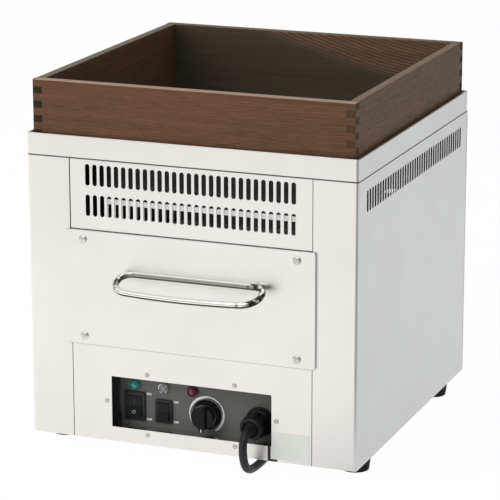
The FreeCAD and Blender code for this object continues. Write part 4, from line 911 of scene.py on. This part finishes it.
class ROASTER_OT_blank_plate(bpy.types.Operator):
    """Thin bare plate at the foot of the front"""

    bl_idname = "roaster.blank_plate"
    bl_label = "Blank plate"

    LEFT, RIGHT, FOOT, HEAD = 99.0 * MM, 143.6 * MM, 18.6 * MM, 49.8 * MM
    THICKNESS = 0.35 * MM
    CORNER = 1.2 * MM

    def execute(self, context):
        wide, high = self.RIGHT - self.LEFT, self.HEAD - self.FOOT
        place = standing((self.LEFT + self.RIGHT) / 2, FRONT_FACE, (self.FOOT + self.HEAD) / 2)
        plate = inlay(wide, high, self.THICKNESS)
        upright = [e for e in plate.edges
                   if abs(e.verts[0].co.z - e.verts[1].co.z) > self.THICKNESS / 2]
        bmesh.ops.bevel(plate, geom=upright, offset=self.CORNER, segments=4, affect="EDGES",
                        profile=0.5, material=-1)
        plate.transform(place)
        paint = painted_plate("blank_plate_paint", (0.76, 0.78, 0.73))
        piece("blank_plate", plate, paint, "cabinet")
        return {"FINISHED"}


class ROASTER_OT_timber_guard(bpy.types.Operator):
    """Grain of the four finger-jointed boards"""

    bl_idname = "roaster.timber_guard"
    bl_label = "Timber guard"

    def execute(self, context):
        settings = context.scene.roaster_finishes
        # Painted light: each board gets its own tint, crown highlight and end tint, lit and shaded
        # copies of one wood; the end grain is also darker in itself.
        dress(guard_wood("front_board_wood", "X", settings, (0.45, 0.30, 0.22), (1.0, 0.95, 0.86),
                         end_tint=(0.110, 0.062, 0.030)), "guard_front_board")
        dress(guard_wood("back_board_wood", "X", settings, (0.14, 0.10, 0.068), (1.38, 1.58, 1.80),
                         heart=(0.30, -0.07), slope=0.27, contrast=0.95, spread=1.2,
                         shadow_line=(0.426, 0.266)), "guard_back_board")
        dress(guard_wood("left_board_wood", "Y", settings, (0.17, 0.145, 0.105), (1.15, 1.3, 1.4),
                         heart=(0.30, -0.09), slope=0.05, contrast=0.5,
                         end_tint=(0.010, 0.008, 0.004)), "guard_left_board")
        dress(guard_wood("right_board_wood", "Y", settings, (0.22, 0.135, 0.080),
                         (1.52, 1.85, 1.88), heart=(0.14, -0.12), slope=-0.03,
                         end_tint=(0.062, 0.030, 0.018)), "guard_right_board")
        return {"FINISHED"}


class ROASTER_OT_well(bpy.types.Operator):
    """Liner, elements, rests and grate inside the well"""

    bl_idname = "roaster.well"
    bl_label = "Roasting well"

    def execute(self, context):
        # The liner and the rests are tinted nearly black.
        dress(bright_steel("liner_steel", (0.085, 0.080, 0.075), 0.38, 0.25),
              "chamber_liner", "heater_rests")
        dress(heater_sheath("element_sheath"), "front_heater", "middle_heater", "rear_heater")
        dress(ceramic("element_bush"), "heater_terminals")
        dress(polished_chrome("grate_plate"), "roasting_grate")
        return {"FINISHED"}


class ROASTER_OT_drawer(bpy.types.Operator):
    """Drawer front, box, handle, fasteners and drip tray"""

    bl_idname = "roaster.drawer"
    bl_label = "Drawer"

    def execute(self, context):
        settings = context.scene.roaster_finishes
        dress(satin_steel("drawer_satin_steel", "X", settings, shade_below), "drawer_front")
        dress(bright_steel("drawer_sheet", (0.74, 0.73, 0.71), 0.26, 0.12), "drawer_box")
        dress(bright_steel("tray_sheet", (0.66, 0.65, 0.63), 0.20, 0.2), "drip_tray")
        dress(handle_chrome("handle_chrome"), "drawer_handle")
        dress(turned_steel("drawer_fasteners", (0.80, 0.79, 0.77), 0.36),
              "drawer_screws", "handle_studs")
        return {"FINISHED"}


class ROASTER_OT_control_plate(bpy.types.Operator):
    """Recessed plate with its captions and the timer's scale"""

    bl_idname = "roaster.control_plate"
    bl_label = "Control plate"

    CAPTION_OFFSET = 4.4 * MM
    CAPTION_INSET = 0.7          # of its height, from the switch's end
    SCALE_START = math.radians(232)
    SCALE_SWEEP = math.radians(292)
    SCALE_STEPS = 72
    SCALE_LINE = 1.0 * MM
    SCALE_WIDTHS = ((0.0, 0.7), (0.20, 1.2), (0.30, 2.7), (0.44, 2.9), (0.52, 1.3), (0.66, 0.9),
                    (0.74, 1.6), (0.86, 3.0), (1.0, 2.2))

    def execute(self, context):
        settings = context.scene.roaster_finishes
        details = context.scene.roaster_details
        dress(bright_steel("tray_floor_steel", (0.68, 0.67, 0.65), 0.08, 0.02), "control_tray")
        dress(moulded("dark_cheek", (0.012, 0.012, 0.011), 0.5), "left_tray_end", "right_tray_end",
              "keeper_strip")
        dress(painted_plate("plate_paint", settings.plate_tint), "control_plate")
        ink = printing_ink("plate_ink", settings.ink_tint)
        self.captions(details, ink)
        self.scale(details, ink)
        return {"FINISHED"}

    def captions(self, details, ink):
        """ON and OFF beside each switch."""
        for switch in ("main_switch", "heater_switch"):
            spot, size = middle(switch), size_of(switch)
            for word, side in (("ON", 1), ("OFF", -1)):
                mesh = lettering(word, details.caption_height, details.ink_thickness)
                z = spot.z + side * (size.z / 2 - details.caption_height * self.CAPTION_INSET)
                x = spot.x + size.x / 2 + self.CAPTION_OFFSET
                mesh.transform(standing(x, PLATE_FACE - details.ink_thickness / 2, z))
                piece(f"{switch}_{word.lower()}_caption", mesh, ink, "cabinet")

    def width_at(self, share):
        """Width of the timer's arc at a share of its sweep."""
        for (low, start), (high, end) in zip(self.SCALE_WIDTHS, self.SCALE_WIDTHS[1:]):
            if share <= high:
                return (start + (end - start) * (share - low) / (high - low)) * MM
        return self.SCALE_WIDTHS[-1][1] * MM

    def scale(self, details, ink):
        """The timer's arc, which swells twice on its way round."""
        spot = middle("timer_knob")
        outer = details.scale_radius
        inner = outer - self.SCALE_LINE
        mesh = bmesh.new()
        ends = [mesh.verts.new((reach, 0.0, 0.0)) for reach in (outer, inner)]
        bmesh.ops.rotate(mesh, verts=ends, cent=(0, 0, 0),
                         matrix=Matrix.Rotation(self.SCALE_START, 3, "Z"))
        bmesh.ops.spin(mesh, geom=ends + [mesh.edges.new(ends)], cent=(0, 0, 0), axis=(0, 0, 1),
                       angle=-self.SCALE_SWEEP, steps=self.SCALE_STEPS, use_merge=False,
                       use_duplicate=False)
        for vert in mesh.verts:
            if vert.co.length < (outer + inner) / 2:
                turn = (self.SCALE_START - math.atan2(vert.co.y, vert.co.x)) % math.tau
                vert.co *= (outer - self.width_at(turn / self.SCALE_SWEEP)) / inner
        raised(mesh, details.ink_thickness)
        mesh.transform(standing(spot.x, PLATE_FACE, spot.z))
        piece("timer_scale", mesh, ink, "cabinet")


class ROASTER_OT_switches(bpy.types.Operator):
    """Rocker switches with their printed marks"""

    bl_idname = "roaster.switches"
    bl_label = "Switches"

    MARK_PLACE = 0.27            # of the rocker's height, from its middle
    RING_RADII = (1.45 * MM, 2.15 * MM)
    RING_STEPS = 32
    BAR = (0.7 * MM, 4.2 * MM)

    def execute(self, context):
        dress(moulded("switch_bezel", (0.016, 0.016, 0.016), 0.34, gloss=0.3),
              "main_switch", "heater_switch")
        dress(moulded("rocker_gloss", (0.008, 0.011, 0.012), 0.18, grain=0.05, gloss=0.18),
              "main_rocker", "heater_rocker")
        thick = context.scene.roaster_details.ink_thickness
        inner, outer = self.RING_RADII
        ring = turned([(inner, 0.0), (outer, 0.0), (outer, thick), (inner, thick),
                       (inner, 0.0)], self.RING_STEPS)
        bar = inlay(*self.BAR, thick)
        spot, shift = middle("main_rocker"), size_of("main_rocker").z * self.MARK_PLACE
        for name, mesh, z, ink, tint in (
                ("off", ring, spot.z - shift, "rocker_ink", (0.42, 0.43, 0.43)),
                ("on", bar, spot.z + shift, "rocker_faint_ink", (0.10, 0.10, 0.10))):
            mesh.transform(on_surface("main_rocker", spot.x, z))
            piece(f"main_rocker_{name}_mark", mesh, printing_ink(ink, tint), "main_rocker")
        return {"FINISHED"}


class ROASTER_OT_lamps(bpy.types.Operator):
    """Pilot lamps with tinted lenses"""

    bl_idname = "roaster.lamps"
    bl_label = "Pilot lamps"

    RADIUS = 5.4 * MM
    FACETS = 10
    # Shares of the radius, and heights in millimetres.
    PROFILE = ((0.0, 0.0), (0.42, -0.30), (0.78, -1.5), (1.0, -3.1), (1.0, -4.6), (0.0, -4.6))
    SHARP = 0.3                  # radians between two facets
    FACET_EDGE = 0.16 * MM

    def execute(self, context):
        settings = context.scene.roaster_finishes
        outline = [(self.RADIUS * share, height * MM) for share, height in self.PROFILE]
        for node, slot, tint, clear in (
                ("power_lamp", "green_lens", settings.green_tint, 0.15),
                ("supply_lamp", "clear_lens", (0.55, 0.57, 0.57), 0.75),
                ("heat_lamp", "red_lens", settings.red_tint, 0.15)):
            cut = turned(outline, self.FACETS)
            sharp = [e for e in cut.edges if e.calc_face_angle(0.0) > self.SHARP]
            bmesh.ops.bevel(cut, geom=sharp, offset=self.FACET_EDGE, segments=1, affect="EDGES",
                            profile=0.5, material=-1)
            cut.transform(standing(middle(node).x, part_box(node)[0].y, middle(node).z))
            cap = piece(node + "_cut_lens", cut, lens(node + "_lens", tint, clear), "cabinet")
            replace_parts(cap, node)
        dress(lamp_rings("lamp_ring_plastic", settings), "lamp_collars")
        dress(moulded("lamp_sleeve", (0.62, 0.61, 0.57), 0.45), "lamp_bodies", "timer_body",
              "terminal_block", "contactor")
        return {"FINISHED"}


class ROASTER_OT_timer_knob(bpy.types.Operator):
    """Timer knob with its pointer line"""

    bl_idname = "roaster.timer_knob"
    bl_label = "Timer knob"

    LINE = (1.2 * MM, 3.6 * MM)
    LINE_INSET = 3.4 * MM        # of its middle from the knob's foot

    def execute(self, context):
        dress(moulded("knob_gloss", (0.003, 0.003, 0.003), 0.08, grain=0.02, gloss=0.18),
              "timer_knob")
        dress(turned_steel("timer_shaft_steel"), "timer_shaft")
        line = inlay(*self.LINE, context.scene.roaster_details.ink_thickness)
        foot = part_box("timer_knob")[0].z
        line.transform(on_surface("timer_knob", middle("timer_knob").x, foot + self.LINE_INSET))
        ink = printing_ink("knob_ink", (0.75, 0.75, 0.73))
        piece("timer_knob_line", line, ink, "timer")
        return {"FINISHED"}


class ROASTER_OT_connector(bpy.types.Operator):
    """Inlet, connector and wall plug"""

    bl_idname = "roaster.connector"
    bl_label = "Connector and plug"

    def execute(self, context):
        dress(moulded("connector_plastic", (0.010, 0.010, 0.010), 0.30, grain=0.1, gloss=0.3),
              "inlet_flange", "cord_connector")
        dress(moulded("plug_plastic", (0.024, 0.024, 0.024), 0.40), "wall_plug")
        return {"FINISHED"}


class ROASTER_PT_panel(bpy.types.Panel):
    """Lists the roaster's operators and settings"""

    bl_idname = "ROASTER_PT_panel"
    bl_label = "Fish roaster"
    bl_space_type = "VIEW_3D"
    bl_region_type = "UI"
    bl_category = "Roaster"

    def draw(self, context):
        for operator in OPERATORS:
            self.layout.operator(operator.bl_idname)
        for group in ("roaster_finishes", "roaster_details", "roaster_stage"):
            box = self.layout.box()
            settings = getattr(context.scene, group)
            for name in settings.__annotations__:
                box.prop(settings, name)


OPERATORS = (
    ROASTER_OT_stage,
    ROASTER_OT_mains_lead,
    ROASTER_OT_cabinet,
    ROASTER_OT_vent_strip,
    ROASTER_OT_blank_plate,
    ROASTER_OT_timber_guard,
    ROASTER_OT_well,
    ROASTER_OT_drawer,
    ROASTER_OT_control_plate,
    ROASTER_OT_switches,
    ROASTER_OT_lamps,
    ROASTER_OT_timer_knob,
    ROASTER_OT_connector,
)
SETTINGS = {
    "roaster_finishes": RoasterFinishes,
    "roaster_details": RoasterDetails,
    "roaster_stage": RoasterStage,
}


def register():
    """Register the settings, the operators and the panel."""
    for name, group in SETTINGS.items():
        bpy.utils.register_class(group)
        setattr(bpy.types.Scene, name, bpy.props.PointerProperty(type=group))
    for cls in (*OPERATORS, ROASTER_PT_panel):
        bpy.utils.register_class(cls)


def unregister():
    """Undo register."""
    for cls in (ROASTER_PT_panel, *reversed(OPERATORS)):
        bpy.utils.unregister_class(cls)
    for name, group in SETTINGS.items():
        delattr(bpy.types.Scene, name)
        bpy.utils.unregister_class(group)


def main():
    """Make every piece in order."""
    register()
    for operator in OPERATORS:
        getattr(bpy.ops.roaster, operator.bl_idname.split(".")[1])()


if __name__ == "__main__":
    main()
